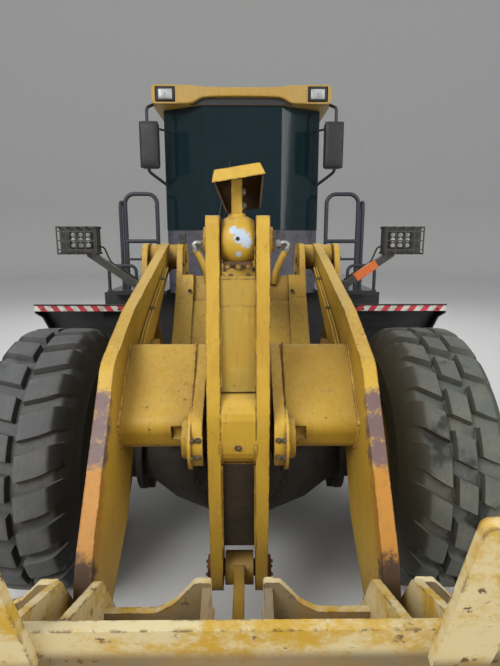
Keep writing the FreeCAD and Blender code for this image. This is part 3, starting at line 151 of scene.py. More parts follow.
class Finish:
    """A material being put together; each of its nodes comes from node()."""

    def __init__(self, name, roughness=0.5, metallic=0.0):
        self.material = bpy.data.materials.new(name)
        self.material.use_nodes = True
        self.tree = self.material.node_tree
        self.tree.nodes.clear()
        self.shader = self.node("BsdfPrincipled", {}, {"Roughness": roughness, "Metallic": metallic})
        out = self.node("OutputMaterial")
        self.tree.links.new(self.shader.outputs[0], out.inputs["Surface"])
        self.place = self.node("TexCoord").outputs["Object"]

    def feed(self, node, name, value):
        sockets = [s for s in node.inputs if s.enabled]
        socket = sockets[name] if isinstance(name, int) else next(s for s in sockets if s.name == name)
        value = getattr(value, "socket", value)
        if isinstance(value, bpy.types.NodeSocket):
            self.tree.links.new(value, socket)
        else:
            socket.default_value = value

    def node(self, kind, settings=(), sockets=()):
        made = self.tree.nodes.new("ShaderNode" + kind)
        for name, value in dict(settings).items():
            setattr(made, name, value)
        for name, value in dict(sockets).items():
            self.feed(made, name, value)
        return made

    def number(self, kind, settings, *values):
        made = self.node(kind, settings, dict(enumerate(values)))
        return Value(self, next(s for s in made.outputs if s.enabled))

    def noise(self, scale, detail=3.0, rough=0.55, twist=0.0, place=None):
        made = self.node("TexNoise", {}, {"Vector": place or self.place, "Scale": scale, "Detail": detail,
                                          "Roughness": rough, "Distortion": twist})
        return Value(self, made.outputs["Fac"])

    def cell_borders(self, scale, place):
        """The distance to the nearest border between cells."""
        made = self.node("TexVoronoi", {"feature": "DISTANCE_TO_EDGE"}, {"Vector": place, "Scale": scale})
        return Value(self, made.outputs["Distance"])

    def stretched(self, x, y, z):
        made = self.node("Mapping", {}, {"Vector": self.place, "Scale": (x, y, z)})
        return made.outputs["Vector"]

    def axes(self):
        made = self.node("SeparateXYZ", {}, {"Vector": self.place})
        return [Value(self, s) for s in made.outputs]

    def facing(self):
        """The surface's normal in the piece's own axes, as three values."""
        made = self.node("SeparateXYZ", {}, {"Vector": self.node("TexCoord").outputs["Normal"]})
        return [Value(self, s) for s in made.outputs]

    def edges(self, radius):
        """1 on outer and inner edges: how far a rounded normal leans from the real one."""
        soft = self.node("Bevel", {"samples": 4}, {"Radius": radius}).outputs["Normal"]
        real = self.node("NewGeometry").outputs["Normal"]
        lean = self.node("VectorMath", {"operation": "DOT_PRODUCT"}, {0: soft, 1: real})
        return (1 - Value(self, lean.outputs["Value"])).between(0.01, 0.14)

    def hollows(self, distance):
        """1 in corners and under ledges."""
        made = self.node("AmbientOcclusion", {"samples": 4}, {"Distance": distance})
        return 1 - Value(self, made.outputs["AO"])

    def near(self, centre, radius, soft):
        """1 inside a ball with a ragged border, 0 outside it; soft widens the border."""
        gap = self.node("VectorMath", {"operation": "DISTANCE"}, {0: self.place, 1: centre})
        ragged = Value(self, gap.outputs["Value"]) + (self.noise(2.2 / radius, 6, 0.8) - 0.5) * (radius * 2.6)
        return ragged.between(radius * (1.04 + soft), radius * (0.96 - soft))

    def mix(self, under, over, mask):
        made = self.node("Mix", {"data_type": "RGBA"}, {"Factor": mask, "A": under, "B": over})
        return next(s for s in made.outputs if s.enabled)

    def bump(self, height, depth):
        made = self.node("Bump", {}, {"Strength": 1.0, "Distance": depth, "Height": height})
        return made.outputs["Normal"]

    def done(self, colour, roughness, normal):
        for name, value in (("Base Color", colour), ("Roughness", roughness), ("Normal", normal)):
            self.feed(self.shader, name, value)
        return self.material


# Finishes

YELLOW = srgb(197, 158, 50)
YELLOW_DEEP = srgb(178, 138, 38)
YELLOW_PALE = srgb(208, 182, 104)
CREAM = srgb(216, 204, 164)
RUST = srgb(108, 66, 36)
RUST_DARK = srgb(62, 40, 28)
# Colour of grimy streaks, and of soiling and painted shade in hollows.
GRIME_AND_SHADE = srgb(58, 46, 34)
DUST = srgb(150, 138, 115)


def worn_yellow(name, base=YELLOW, chips=0.5, rust=0.5, grime_and_shade=0.5, fade=0.4, seed=0.0, patches=(),
                brown_below=None, shade=0.0, soft=0.0):
    """Old yellow paint: cloudy fading, grimy streaks, hollows darkened by soiling and painted shade, and
    chipped rusty edges. It turns brown below a height, darkens with painted shade in deep hollows, and has
    patches (centre, radius, tint) with a ragged border."""
    f = Finish(name)
    z = f.axes()[2]
    cloud = f.noise(1.7, 4, 0.6, 0.3)
    fine = f.noise(38, 4, 0.65)
    patch = f.noise(7.0 + seed, 5, 0.7)
    edge = f.edges(0.009)
    hollow = f.hollows(0.16)
    up = f.facing()[2]
    colour = f.mix(base, YELLOW_DEEP, cloud.between(0.42, 0.7))
    colour = f.mix(colour, YELLOW_PALE, patch.between(0.5, 0.75) * fade)
    colour = f.mix(colour, CREAM, up.between(0.5, 1.0) * fine.between(0.35, 0.7) * fade)
    for centre, radius, tint in patches:
        colour = f.mix(colour, tint, f.near(centre, radius, soft))
    if brown_below is not None:
        colour = f.mix(colour, srgb(58, 46, 36), (z + patch * 0.12).between(brown_below + 0.22, brown_below)
                       * 0.88)
    if shade:
        colour = f.mix(colour, srgb(84, 68, 42), f.hollows(0.9).between(0.3, 0.9) * shade)
    streak = f.noise(9.0, 4, 0.7, place=f.stretched(6.0, 6.0, 0.5)).between(0.5, 0.72)
    # Grimy streaks, and hollows darkened by soiling and painted shade.
    dirt_and_shade = (hollow.between(0.25, 0.8) | streak * 0.5) * fine.between(0.25, 0.6) * grime_and_shade
    colour = f.mix(colour, GRIME_AND_SHADE, dirt_and_shade)
    spots = f.noise(26.0, 6, 0.72).between(0.635, 0.665) * patch.between(0.45, 0.6)
    chip = (edge * f.noise(18.0, 5, 0.7).between(0.42, 0.56) * chips) | spots * rust
    worn = (chip * 2.0).math("MINIMUM", 1.0)
    rusty = f.mix(RUST, RUST_DARK, fine.between(0.4, 0.65))
    colour = f.mix(colour, rusty, worn)
    rough = 0.42 + fine * 0.2 + worn * 0.25 + dirt_and_shade * 0.2
    return f.done(colour, rough, f.bump(fine * 0.25 - worn * 0.6, 0.0012))


def bucket_paint():
    """Paint scraped to cream with spots of bare rust, most of them on the edges; the mouth, which faces
    forward, is rubbed to dull brown steel."""
    f = Finish("bucket_worn_paint")
    cloud = f.noise(2.3, 5, 0.65)
    fine = f.noise(60, 5, 0.7)
    patch = f.noise(4.6, 9, 0.78)
    spot = f.noise(13.0, 7, 0.75)
    edge = f.edges(0.014)
    colour = f.mix(YELLOW, srgb(206, 170, 84), cloud.between(0.4, 0.6))
    colour = f.mix(colour, CREAM, patch.between(0.40, 0.56) * 0.85)
    mouth = (f.facing()[1] * -1.0).between(0.2, 0.5) * f.axes()[2].between(1.16, 1.10)
    colour = f.mix(colour, f.mix(srgb(128, 104, 74), srgb(98, 84, 68), cloud.between(0.4, 0.6)), mouth * 0.85)
    rub = (spot.between(0.60, 0.64) * patch.between(0.44, 0.5)) | (edge * spot.between(0.50, 0.56))
    rusty = f.mix(RUST, RUST_DARK, fine.between(0.4, 0.6))
    colour = f.mix(colour, rusty, rub * 0.9)
    # Hollows darkened by soiling and painted shade.
    dirt_and_shade = f.hollows(0.12).between(0.4, 0.9) * fine.between(0.3, 0.6) * 0.4
    colour = f.mix(colour, GRIME_AND_SHADE, dirt_and_shade)
    rough = 0.5 + rub * 0.25 + fine * 0.15
    return f.done(colour, rough, f.bump(fine * 0.4 - rub, 0.0012))


def plain_metal(name, first, second, roughness, metallic, scale, dust):
    """Even paint or metal with soft blotches and dust on what faces up."""
    f = Finish(name, metallic=metallic)
    blotch = f.noise(scale, 5, 0.65)
    fine = f.noise(scale * 9, 3, 0.6)
    up = f.facing()[2]
    tint = f.mix(srgb(*first), srgb(*second), blotch.between(0.42, 0.68))
    tint = f.mix(tint, DUST, (up.between(0.2, 1.0) * 0.7 + 0.3) * fine.between(0.35, 0.7) * dust)
    return f.done(tint, roughness + fine * 0.12, f.bump(fine, 0.0006))


def tyre_rubber(name, side, tread, dust, wet):
    """Rubber: dusty grey lugs, soil in the grooves, dark wet spots, and dark sidewalls with cracks."""
    f = Finish(name)
    blotch = f.noise(6.0, 6, 0.7)
    fine = f.noise(90, 4, 0.75)
    edge = f.edges(0.010)
    hollow = f.hollows(0.07)
    out = f.facing()[0].math("ABSOLUTE").between(0.30, 0.62)
    colour = f.mix(tread, dust, blotch.between(0.4, 0.7) * 0.5)
    colour = f.mix(colour, dust, edge * fine.between(0.35, 0.6) * 0.5)
    colour = f.mix(colour, srgb(70, 62, 50), hollow.between(0.25, 0.7) * fine.between(0.3, 0.55) * 0.7)
    colour = f.mix(colour, srgb(24, 24, 25), f.noise(3.1, 4, 0.6).between(0.56, 0.64) * wet)
    colour = f.mix(colour, side, out * 0.94)
    crack = f.cell_borders(55.0, f.stretched(1.0, 0.6, 0.6)).between(0.05, 0.0)
    return f.done(colour, 0.7 + fine * 0.18, f.bump(fine * 0.6 + blotch - crack * 0.3, 0.003))


def glass_finish():
    """Dark tinted glass: one glossy surface that lets a part of the light through."""
    f = Finish("tinted_glass", roughness=0.06)
    f.feed(f.shader, "Base Color", srgb(24, 44, 50))
    f.feed(f.shader, "Alpha", 0.62)
    return f.material


def cab_paint():
    """Grey sheet metal below the windows and black posts round the front panes."""
    f = Finish("cab_two_tone")
    _, y, z = f.axes()
    blotch = f.noise(9.0, 4, 0.6)
    fine = f.noise(90, 3, 0.6)
    colour = f.mix(srgb(78, 78, 90), srgb(60, 60, 70), blotch.between(0.42, 0.68))
    colour = f.mix(colour, DUST, fine.between(0.4, 0.7) * 0.14)
    posts = z.between(2.232, 2.236) * y.between(0.79, 0.78)
    colour = f.mix(colour, srgb(20, 22, 26), posts)
    return f.done(colour, 0.42 + fine * 0.12, f.bump(fine, 0.0006))


def seat_fabric():
    """A woven cloth: two crossed fine waves, faded by a soft blotch."""
    f = Finish("seat_fabric")
    x, y, z = f.axes()
    blotch = f.noise(9.0, 4, 0.6)
    warp = ((x * 2400.0).math("SINE") * ((y + z) * 2400.0).math("SINE")) * 0.5 + 0.5
    colour = f.mix(srgb(46, 46, 50), srgb(70, 68, 66), warp * 0.6 + blotch.between(0.45, 0.7) * 0.4)
    return f.done(colour, 0.86 + blotch * 0.1, f.bump(warp + f.noise(60, 3) * 0.6, 0.0009))


# Pieces from worked-out surfaces

# A shape is a pair: points (n, 3) and faces.

def merged(*shapes):
    """One shape of several: each one's face numbers go up by the points before it."""
    start = np.cumsum([0] + [len(points) for points, _ in shapes])
    faces = [tuple(np.add(face, first)) for (_, rows), first in zip(shapes, start) for face in rows]
    return np.concatenate([points for points, _ in shapes]), faces


def mirrored(shape):
    points, faces = shape
    return points * (-1, 1, 1), [tuple(face[::-1]) for face in faces]


def both_sides(shape):
    return merged(shape, mirrored(shape))


def sheet(points, wrap_rows=False, wrap_columns=False):
    """A grid of points as quads; point (i, j) is number i * columns + j."""
    rows, columns = points.shape[:2]
    i = np.arange(rows if wrap_rows else rows - 1)[:, None]
    j = np.arange(columns if wrap_columns else columns - 1)[None, :]
    i2, j2 = (i + 1) % rows, (j + 1) % columns
    quads = np.stack([i * columns + j, i * columns + j2, i2 * columns + j2, i2 * columns + j], -1)
    return points.reshape(-1, 3), [tuple(quad) for quad in quads.reshape(-1, 4)]


def barrel(points):
    """A grid closed round its columns, with one face over its first row and one over its last."""
    body, faces = sheet(points, wrap_columns=True)
    n = points.shape[1]
    return body, faces + [tuple(range(n))[::-1], tuple(range(len(body) - n, len(body)))]


def trapeze(foot, head):
    """Four corners even about the middle; foot and head are (half width, y, z)."""
    return [(-foot[0], *foot[1:]), foot, head, (-head[0], *head[1:])]


def upright(x0, x1, foot, head):
    """Four corners from x0 to x1; foot and head are (y, z)."""
    return [(x0, *foot), (x1, *foot), (x1, *head), (x0, *head)]


def pane_x(x, y0, y1, z0, z1):
    """Four corners at one x."""
    return [(x, y0, z0), (x, y1, z0), (x, y1, z1), (x, y0, z1)]


def frames(axis):
    """Two unit vectors square to each axis: a = axis x least aligned world axis, b = axis x a."""
    axis = np.atleast_2d(np.asarray(axis, float))
    axis = axis / np.linalg.norm(axis, axis=1, keepdims=True)
    least = np.eye(3)[np.argmin(np.abs(axis), axis=1)]
    a = np.cross(axis, least)
    a /= np.linalg.norm(a, axis=1, keepdims=True)
    return axis, a, np.cross(axis, a)


def turned(places, axes, profile, sides=16, twist=0.0):
    """Bodies of revolution: p + axis * h + r * (a cos t + b sin t), for (h, r) in the profile."""
    places = np.atleast_2d(np.asarray(places, float))
    axis, a, b = frames(np.broadcast_to(axes, places.shape))
    h, r = np.asarray(profile, float).T
    t = twist + 2 * pi * np.arange(sides) / sides
    ring = a[:, None, :] * np.cos(t)[:, None] + b[:, None, :] * np.sin(t)[:, None]
    points = places[:, None, None] + axis[:, None, None] * h[:, None, None] + ring[:, None] * r[:, None, None]
    return merged(*[sheet(p, wrap_columns=True) for p in points])


def capped(*profile):
    """A profile (h, r) that starts and ends on the axis."""
    return [(profile[0][0], 0), *profile, (profile[-1][0], 0)]


def bolts(places, axes, size=0.012):
    """Hexagon heads with a washer under each."""
    head = [(0, 0.0), (0, size), (size * 1.0, size), (size * 1.25, size * 0.8), (size * 1.25, 0.0)]
    washer = [(0, size * 1.55), (size * 0.25, size * 1.55), (size * 0.3, size * 1.4), (size * 0.3, 0.0)]
    return merged(turned(places, axes, head, 6), turned(places, axes, washer, 14))


def ring_of(centre, axis, radius, count, start=0.0):
    """Points on a circle: centre + radius * (a cos t + b sin t)."""
    _, a, b = frames(axis)
    t = start + 2 * pi * np.arange(count) / count
    return np.asarray(centre) + radius * (np.cos(t)[:, None] * a + np.sin(t)[:, None] * b)


def soft_boxes(centres, halves, radius, tilt=0.0):
    """Boxes with round edges: s * (half - radius) + radius * unit(w), where s is the side of the box
    and w runs from -1 to 1 round each edge; tilt turns them about X."""
    s = np.array([-1, -1, -1, 1, 1, 1.0])
    w = np.array([-1, -0.45, 0, 0, 0.45, 1.0])
    u, v = np.meshgrid(np.arange(6), np.arange(6), indexing="ij")
    shapes = []
    centres = np.atleast_2d(centres)
    for centre, half in zip(centres, np.broadcast_to(halves, centres.shape)):
        for axis in range(3):
            for sign in (-1, 1):
                inner, lean = np.empty((6, 6, 3)), np.empty((6, 6, 3))
                inner[..., axis], lean[..., axis] = sign, sign
                for k, grid in ((1, u), (2, v)):
                    inner[..., (axis + k) % 3] = s[grid]
                    lean[..., (axis + k) % 3] = w[grid]
                lean /= np.linalg.norm(lean, axis=-1, keepdims=True)
                points = inner * (half - radius) + radius * lean
                y = points[..., 1] * np.cos(tilt) - points[..., 2] * np.sin(tilt)
                z = points[..., 1] * np.sin(tilt) + points[..., 2] * np.cos(tilt)
                points = np.stack([points[..., 0], y, z], -1) + centre
                shapes.append(sheet(points if sign > 0 else points[::-1]))
    return merged(*shapes)


def smooth_path(points, steps=8):
    """A Catmull-Rom curve through points, each stretch a cubic in t."""
    p = np.asarray(points, float)
    p = np.concatenate([[2 * p[0] - p[1]], p, [2 * p[-1] - p[-2]]])
    t = np.linspace(0, 1, steps, endpoint=False)[:, None]
    runs = []
    for a, b, c, d in zip(p, p[1:], p[2:], p[3:]):
        square, cube = 2 * a - 5 * b + 4 * c - d, 3 * b - a - 3 * c + d
        runs.append(0.5 * (2 * b + (c - a) * t + square * t ** 2 + cube * t ** 3))
    return np.concatenate([*runs, p[-2:-1]])


def tube(path, radius, sides=12):
    """A tube along a path: path + radius * (a cos t + b sin t); the radius may vary on the way."""
    path = np.asarray(path, float)
    along = np.gradient(path, axis=0)
    along /= np.linalg.norm(along, axis=1, keepdims=True)
    a = np.empty_like(path)
    a[0] = frames(along[0])[1][0]
    for i in range(1, len(path)):
        a[i] = a[i - 1] - along[i] * np.dot(a[i - 1], along[i])
        a[i] /= np.linalg.norm(a[i])
    b = np.cross(along, a)
    t = 2 * pi * np.arange(sides) / sides
    r = np.broadcast_to(radius, len(path))[:, None, None]
    points = path[:, None] + r * (a[:, None] * np.cos(t)[:, None] + b[:, None] * np.sin(t)[:, None])
    return barrel(points)


def weld(start, end, radius):
    """A weld bead: a tube whose radius is r * (1 + 0.16 * sin(2 pi s / 14 mm))."""
    start, end = np.asarray(start, float), np.asarray(end, float)
    length = np.linalg.norm(end - start)
    s = np.linspace(0, 1, max(int(length / 0.0035), 2))[:, None]
    r = radius * (1 + 0.16 * np.sin(2 * pi * s[:, 0] * length / 0.014))
    return tube(start + (end - start) * s, r, 7)


def slab(outline, out, depth):
    """A flat outline pushed along out by depth: two faces and a side per edge."""
    outline = np.asarray(outline, float)
    count = len(outline)
    points = np.concatenate([outline, outline + np.asarray(out) * depth])
    sides = [(i, (i + 1) % count, (i + 1) % count + count, i + count) for i in range(count)]
    return points, sides + [tuple(range(count))[::-1], tuple(range(count, 2 * count))]


def bulge(centre, half, out, height, power=4.0, steps=14):
    """A closed lens: depth = height * (1 - |u|^p) ** .5 * (1 - |v|^p) ** .5 over a flat back."""
    out = np.asarray(out, float)
    side = np.cross(out, (0, 0, 1.0))
    side /= np.linalg.norm(side)
    up = np.cross(side, out)
    run = np.sin(np.linspace(-pi / 2, pi / 2, steps))
    u, v = np.meshgrid(run, run, indexing="ij")
    rise = height * np.sqrt((1 - np.abs(u) ** power) * (1 - np.abs(v) ** power))
    flat = np.asarray(centre) + u[..., None] * half[0] * side + v[..., None] * half[1] * up
    return merged(sheet(flat + rise[..., None] * out), sheet(flat[::-1]))


def piece(name, shape, finish, body, smooth=False):
    """A mesh object at the origin that rides on a body; its faces are turned outwards."""
    points, faces = shape
    mesh = bpy.data.meshes.new(name)
    mesh.from_pydata(np.asarray(points).tolist(), [], [list(map(int, face)) for face in faces])
    mesh.update()
    made = bpy.data.objects.new(name, mesh)
    bpy.context.scene.collection.objects.link(made)
    work = bmesh.new()
    work.from_mesh(mesh)
    bmesh.ops.remove_doubles(work, verts=work.verts, dist=SAME_POINT)
    bmesh.ops.recalc_face_normals(work, faces=work.faces)
    work.to_mesh(mesh)
    work.free()
    mesh.materials.append(FINISHES[finish])
    mesh.polygons.foreach_set("use_smooth", [smooth] * len(mesh.polygons))
    if smooth:
        mesh.set_sharp_from_angle(angle=SHARP_FROM)
    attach(made, body)
    return made


# Tyres

# Columns: bare across, bare radius, raised across, raised radius; from the middle to the bead.
TYRE_RUN = np.array([
    (-0.002, 0.758, -0.002, 0.758), (0.012, 0.758, 0.012, 0.758), (0.016, 0.757, 0.019, 0.796),
    (0.024, 0.757, 0.026, 0.7995), (0.045, 0.757, 0.045, 0.8000), (0.052, 0.757, 0.050, 0.794),
    (0.056, 0.757, 0.054, 0.762), (0.070, 0.757, 0.072, 0.762), (0.074, 0.757, 0.076, 0.794),
    (0.080, 0.757, 0.080, 0.799), (0.130, 0.757, 0.130, 0.798), (0.165, 0.755, 0.168, 0.794),
    (0.185, 0.752, 0.190, 0.784), (0.200, 0.746, 0.208, 0.765), (0.214, 0.736, 0.222, 0.748),
    (0.228, 0.724, 0.233, 0.730), (0.243, 0.706, 0.244, 0.708), (0.257, 0.688, 0.257, 0.688),
    (0.270, 0.664, 0.270, 0.664), (0.279, 0.642, 0.279, 0.642), (0.2865, 0.634, 0.2865, 0.634),
    (0.2925, 0.622, 0.2925, 0.622), (0.2895, 0.611, 0.2895, 0.611), (0.2945, 0.560, 0.2945, 0.560),
    (0.290, 0.505, 0.290, 0.505), (0.281, 0.462, 0.281, 0.462), (0.283, 0.452, 0.283, 0.452),
    (0.272, 0.430, 0.272, 0.430), (0.256, 0.400, 0.256, 0.400), (0.2475, 0.378, 0.2475, 0.378),
    (0.2465, 0.357, 0.2465, 0.357), (0.238, 0.340, 0.238, 0.340), (0.230, 0.3225, 0.230, 0.3225)])
GROOVE = slice(5, 9)      # between a lug and its shoulder block
LUG_R = 0.7995            # where a lug fills it


def tyre_half(across, count, slant, width, blocks):
    """Half a tyre: the run of points goes round; where a lug stands, each point moves from its bare
    place to its raised one. A lug's angle runs with slant * across until the shoulder. With blocks,
    the lugs cross the middle and the shoulder stands apart, turned by a third of a pitch."""
    lean = np.array([-0.5, -0.42, -width - 0.03, -width, -width / 2, 0, width / 2, width, width + 0.03, 0.42])
    raised = np.array([0, 0, 0, 1, 1, 1, 1, 1, 0, 0.0])
    turn = ((np.arange(count)[:, None] + lean) / count * 2 * pi).ravel()
    lift = np.tile(raised, count)[:, None] * np.ones(len(TYRE_RUN))
    bare_x, bare_r, high_x, high_r = TYRE_RUN.T.copy()
    shift = np.zeros(len(TYRE_RUN))
    if blocks:
        high_x[:3], high_r[:3] = bare_x[:3], LUG_R
        shift[GROOVE.start + 2:] = 0.34 / count * 2 * pi
    else:
        high_r[GROOVE] = LUG_R
        turn = turn + (across < 0) * pi / count
    x = bare_x + (high_x - bare_x) * lift
    r = bare_r + (high_r - bare_r) * lift
    sweep = np.maximum(np.minimum(x, 0.24) - 0.10, 0) ** 2 * 1.6
    angle = turn[:, None] + (slant * np.minimum(x, 0.2) + sweep) / 0.8 + shift
    points = np.stack([across * x, r * np.sin(angle), r * np.cos(angle)], -1)
    return sheet(points, wrap_rows=True, wrap_columns=True)


def fit_tyres():
    """Diagonal lugs with shoulder blocks on the front right, cross lugs on the others."""
    # Lugs, slant outwards and inwards, half width of a lug, blocks.
    cross_lugs = (25, 0.25, 0.25, 0.315, False)
    treads = {"front_left": cross_lugs, "front_right": (22, -0.5, 0.5, 0.31, True),
              "rear_left": cross_lugs, "rear_right": cross_lugs}
    for name, (count, outer, inner, width, blocks) in treads.items():
        end, side = name.split("_")
        across = dict(SIDES)[side]
        points, faces = merged(tyre_half(across, count, outer, width, blocks),
                               tyre_half(-across, count, inner, width, blocks))
        finish = "tyre_right" if blocks else "tyre_left"
        made = piece("tyre_visual_" + name, (points + (across * HUB_X, AXLES[end], HUB_Z), faces), finish,
                     "wheel_" + name, smooth=True)
        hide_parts("tyre_" + name)


# Wheels

def fit_wheels():
    """Nuts on circles round each hub, a lock ring and a valve on the outer side."""
    for end, y in AXLES.items():
        for side, across in SIDES:
            middle = np.array([across * HUB_X, y, HUB_Z])
            out = np.array([across, 0, 0])
            wheel = f"{end}_{side}"
            nuts = merged(bolts(ring_of(middle + out * 0.0695, out, 0.198, 20), out, 0.013),
                          bolts(ring_of(middle + out * 0.1665, out, 0.118, 10), out, 0.009))
            piece("wheel_nuts_" + wheel, nuts, "bolt_steel", "wheel_" + wheel)
            lock = turned(middle, out, [(0.2635, 0.310), (0.2685, 0.316), (0.2710, 0.330), (0.2685, 0.342),
                                        (0.2635, 0.347), (0.2630, 0.328)], 72)
            cap = turned(middle, out, capped((0.171, 0.046), (0.181, 0.044), (0.184, 0.036)), 32)
            piece("rim_lock_ring_" + wheel, merged(lock, cap), "rim_olive", "wheel_" + wheel,
                  smooth=True)
            foot = middle + out * 0.245 + (0, 0.29, 0.08)
            bent = smooth_path([foot, foot + out * 0.03, foot + out * 0.045 + (0, -0.03, -0.01)])
            piece("tyre_valve_" + wheel, tube(bent, 0.005, 8), "brass", "wheel_" + wheel,
                  smooth=True)


def fit_axles():
    """Carrier flanges with a ring of bolts, brake bolts, and drain plugs."""
    for end, body in (("front", "front_frame"), ("rear", "rear_frame")):
        y = AXLES[end]
        face = -1 if end == "front" else 1
        centre = np.array([0, y + face * 0.30, HUB_Z])
        out = (0, face, 0)
        cover = turned(centre, out, [(0, 0.0), (0, 0.282), (0.036, 0.282), (0.042, 0.275), (0.042, 0.226),
                                     (0.075, 0.200), (0.100, 0.150), (0.112, 0.075), (0.118, 0.0)], 48)
        heads = bolts(ring_of(centre + np.multiply(out, 0.042), out, 0.25, 18), out, 0.010)
        plug = bolts(centre + (0.0, face * 0.115, 0.0), out, 0.016)
        piece(f"carrier_flange_{end}", cover, "underbody_brown", body, smooth=True)
        piece(f"carrier_bolts_{end}", merged(heads, plug), "underbody_bolts", body)
        rows = []
        for turn in (-55, 15, 195, 235):
            s, c = np.sin(radians(turn)), np.cos(radians(turn))
            d, e = np.array([0, -s, c]), np.array([0, c, s])
            for across in (0.592, 0.642):
                for run in (-0.04, 0.04):
                    rows.append((np.array([across, y, HUB_Z]) + d * 0.262 + e * run, d))
        places, axes = (np.array(column) for column in zip(*rows))
        flange = bolts(ring_of((0.5605, y, HUB_Z), RIGHT, 0.155, 12), RIGHT, 0.009)
        piece(f"brake_bolts_{end}", both_sides(merged(bolts(places, axes, 0.010), flange)), "underbody_bolts",
              body)


# Fenders, lamps and mirrors

def fit_tape():
    """Slanted red and white strips on the front lips: four corners each, x leaning with height."""
    low, high, lean = 1.655, 1.697, 0.03
    edges = np.linspace(0.80, 1.45, 15)
    for colour, first in (("red", 0), ("white", 1)):
        strips = []
        for a, b in list(zip(edges, edges[1:]))[first::2]:
            corners = [(a, low), (b, low), (min(b + lean, 1.45), high), (min(a + lean, 1.45), high)]
            strips.append(slab([(x, -0.7301, z) for x, z in corners], FRONT, 0.0012))
        piece("fender_tape_" + colour, both_sides(merged(*strips)), "tape_" + colour, "front_frame")
    edge = tube([(0.80, -0.734, 1.6995), (1.45, -0.734, 1.6995)], 0.005, 10)
    piece("fender_edge_bead", both_sides(edge), "black_sheet", "front_frame", smooth=True)
    rivets = bolts([(0.86, -0.731, 1.668), (1.39, -0.731, 1.668)], FRONT, 0.006)
    piece("fender_rivets", both_sides(rivets), "bolt_steel", "front_frame")


def lamp_frame(centre, reach, level, post, radius):
    """Four soft bars round a lamp: two level ones, then two upright ones; reach is (across, up)."""
    x, y, z = centre
    return merged(soft_boxes([(x, y, z - reach[1]), (x, y, z + reach[1])], level, radius),
                  soft_boxes([(x - reach[0], y, z), (x + reach[0], y, z)], post, radius))


def fit_work_lamps():
    """Lamp faces of light cells in rows, a frame round them, cables, and one orange sleeve."""
    x, z = np.meshgrid(np.linspace(1.075, 1.180, 3), np.linspace(2.108, 2.182, 3))
    cells = np.stack([x.ravel(), np.full(9, -0.6255), z.ravel()], -1)
    dome = turned(cells, FRONT, [(0, 0.0), (0, 0.0175), (0.003, 0.0165), (0.006, 0.012), (0.0075, 0.0)], 16)
    piece("lamp_cells", both_sides(dome), "lamp_glass", "front_frame", smooth=True)
    rim = lamp_frame((1.1275, -0.6275, 2.145), (0.075, 0.0515), (0.0785, 0.003, 0.0035),
                     (0.0035, 0.003, 0.055), 0.002)
    piece("lamp_frames", both_sides(rim), "black_plastic", "front_frame")
    fins = soft_boxes([(1.04 + 0.022 * i, -0.5095, 2.142) for i in range(11)], (0.003, 0.008, 0.062), 0.0015)
    piece("lamp_fins", both_sides(fins), "black_plastic", "front_frame")
    path = smooth_path([(1.02, -0.56, 2.10), (0.985, -0.555, 2.085), (0.94, -0.557, 1.99),
                        (0.85, -0.559, 1.93), (0.76, -0.560, 1.865), (0.722, -0.555, 1.83)], 10)
    piece("lamp_cables", both_sides(tube(path, 0.006, 10)), "rubber_black", "front_frame",
          smooth=True)
    foot, head = np.array([0.715, -0.59, 1.80]), np.array([1.085, -0.59, 2.055])
    square = capped((0, 0.0385), (0.004, 0.0395), (0.176, 0.0395), (0.18, 0.0385))
    sleeve = turned(foot + (head - foot) * 0.30, head - foot, square, 4, pi / 4)
    piece("lamp_post_sleeve", sleeve, "orange_paint", "front_frame")
    feet = [(0.7455, -0.59 + dy, z) for dy in (-0.035, 0.035) for z in (1.755, 1.845)]
    piece("lamp_pad_bolts", both_sides(bolts(feet, RIGHT, 0.009)), "bolt_steel", "front_frame")


def fit_roof_lamps():
    """A clear domed lens in a black bezel on each side of the roof."""
    bars = lamp_frame((0.675, 0.484, 3.4075), (0.0705, -0.05), (0.078, 0.008, 0.0075),
                      (0.0075, 0.008, 0.055), 0.004)
    piece("roof_lamp_bezels", both_sides(bars), "black_plastic", "rear_frame", smooth=True)
    lens = bulge((0.675, 0.4865, 3.4075), (0.064, 0.043), FRONT, 0.010)
    piece("roof_lamp_lenses", both_sides(lens), "lamp_glass", "rear_frame", smooth=True)
    bulb = turned((0.675, 0.4795, 3.4075), FRONT, [(0, 0.0), (0, 0.030), (0.001, 0.031), (0.0035, 0.0)], 28)
    piece("roof_lamp_reflectors", both_sides(bulb), "mirror_glass", "rear_frame", smooth=True)


def fit_mirrors():
    """A swelling back and a bright glass for each mirror."""
    back = bulge((0.83, 0.4805, 2.98), (0.084, 0.198), FRONT, 0.026, 5.0, 20)
    piece("mirror_backs", both_sides(back), "black_plastic", "rear_frame", smooth=True)
    glass = bulge((0.83, 0.5402, 2.98), (0.074, 0.186), REAR, 0.003, 8.0)
    piece("mirror_glass", both_sides(glass), "mirror_glass", "rear_frame", smooth=True)
    heights = (2.86, 3.11)
    sleeve = capped((-0.016, 0.0215), (-0.014, 0.0225), (0.014, 0.0225), (0.016, 0.0215))
    clamps = turned([(0.855, 0.55, z) for z in heights], UP, sleeve, 20)
    heads = bolts([(0.878, 0.55, z) for z in heights], RIGHT, 0.006)
    piece("mirror_clamps", both_sides(merged(clamps, heads)), "black_plastic", "rear_frame")


# Cab

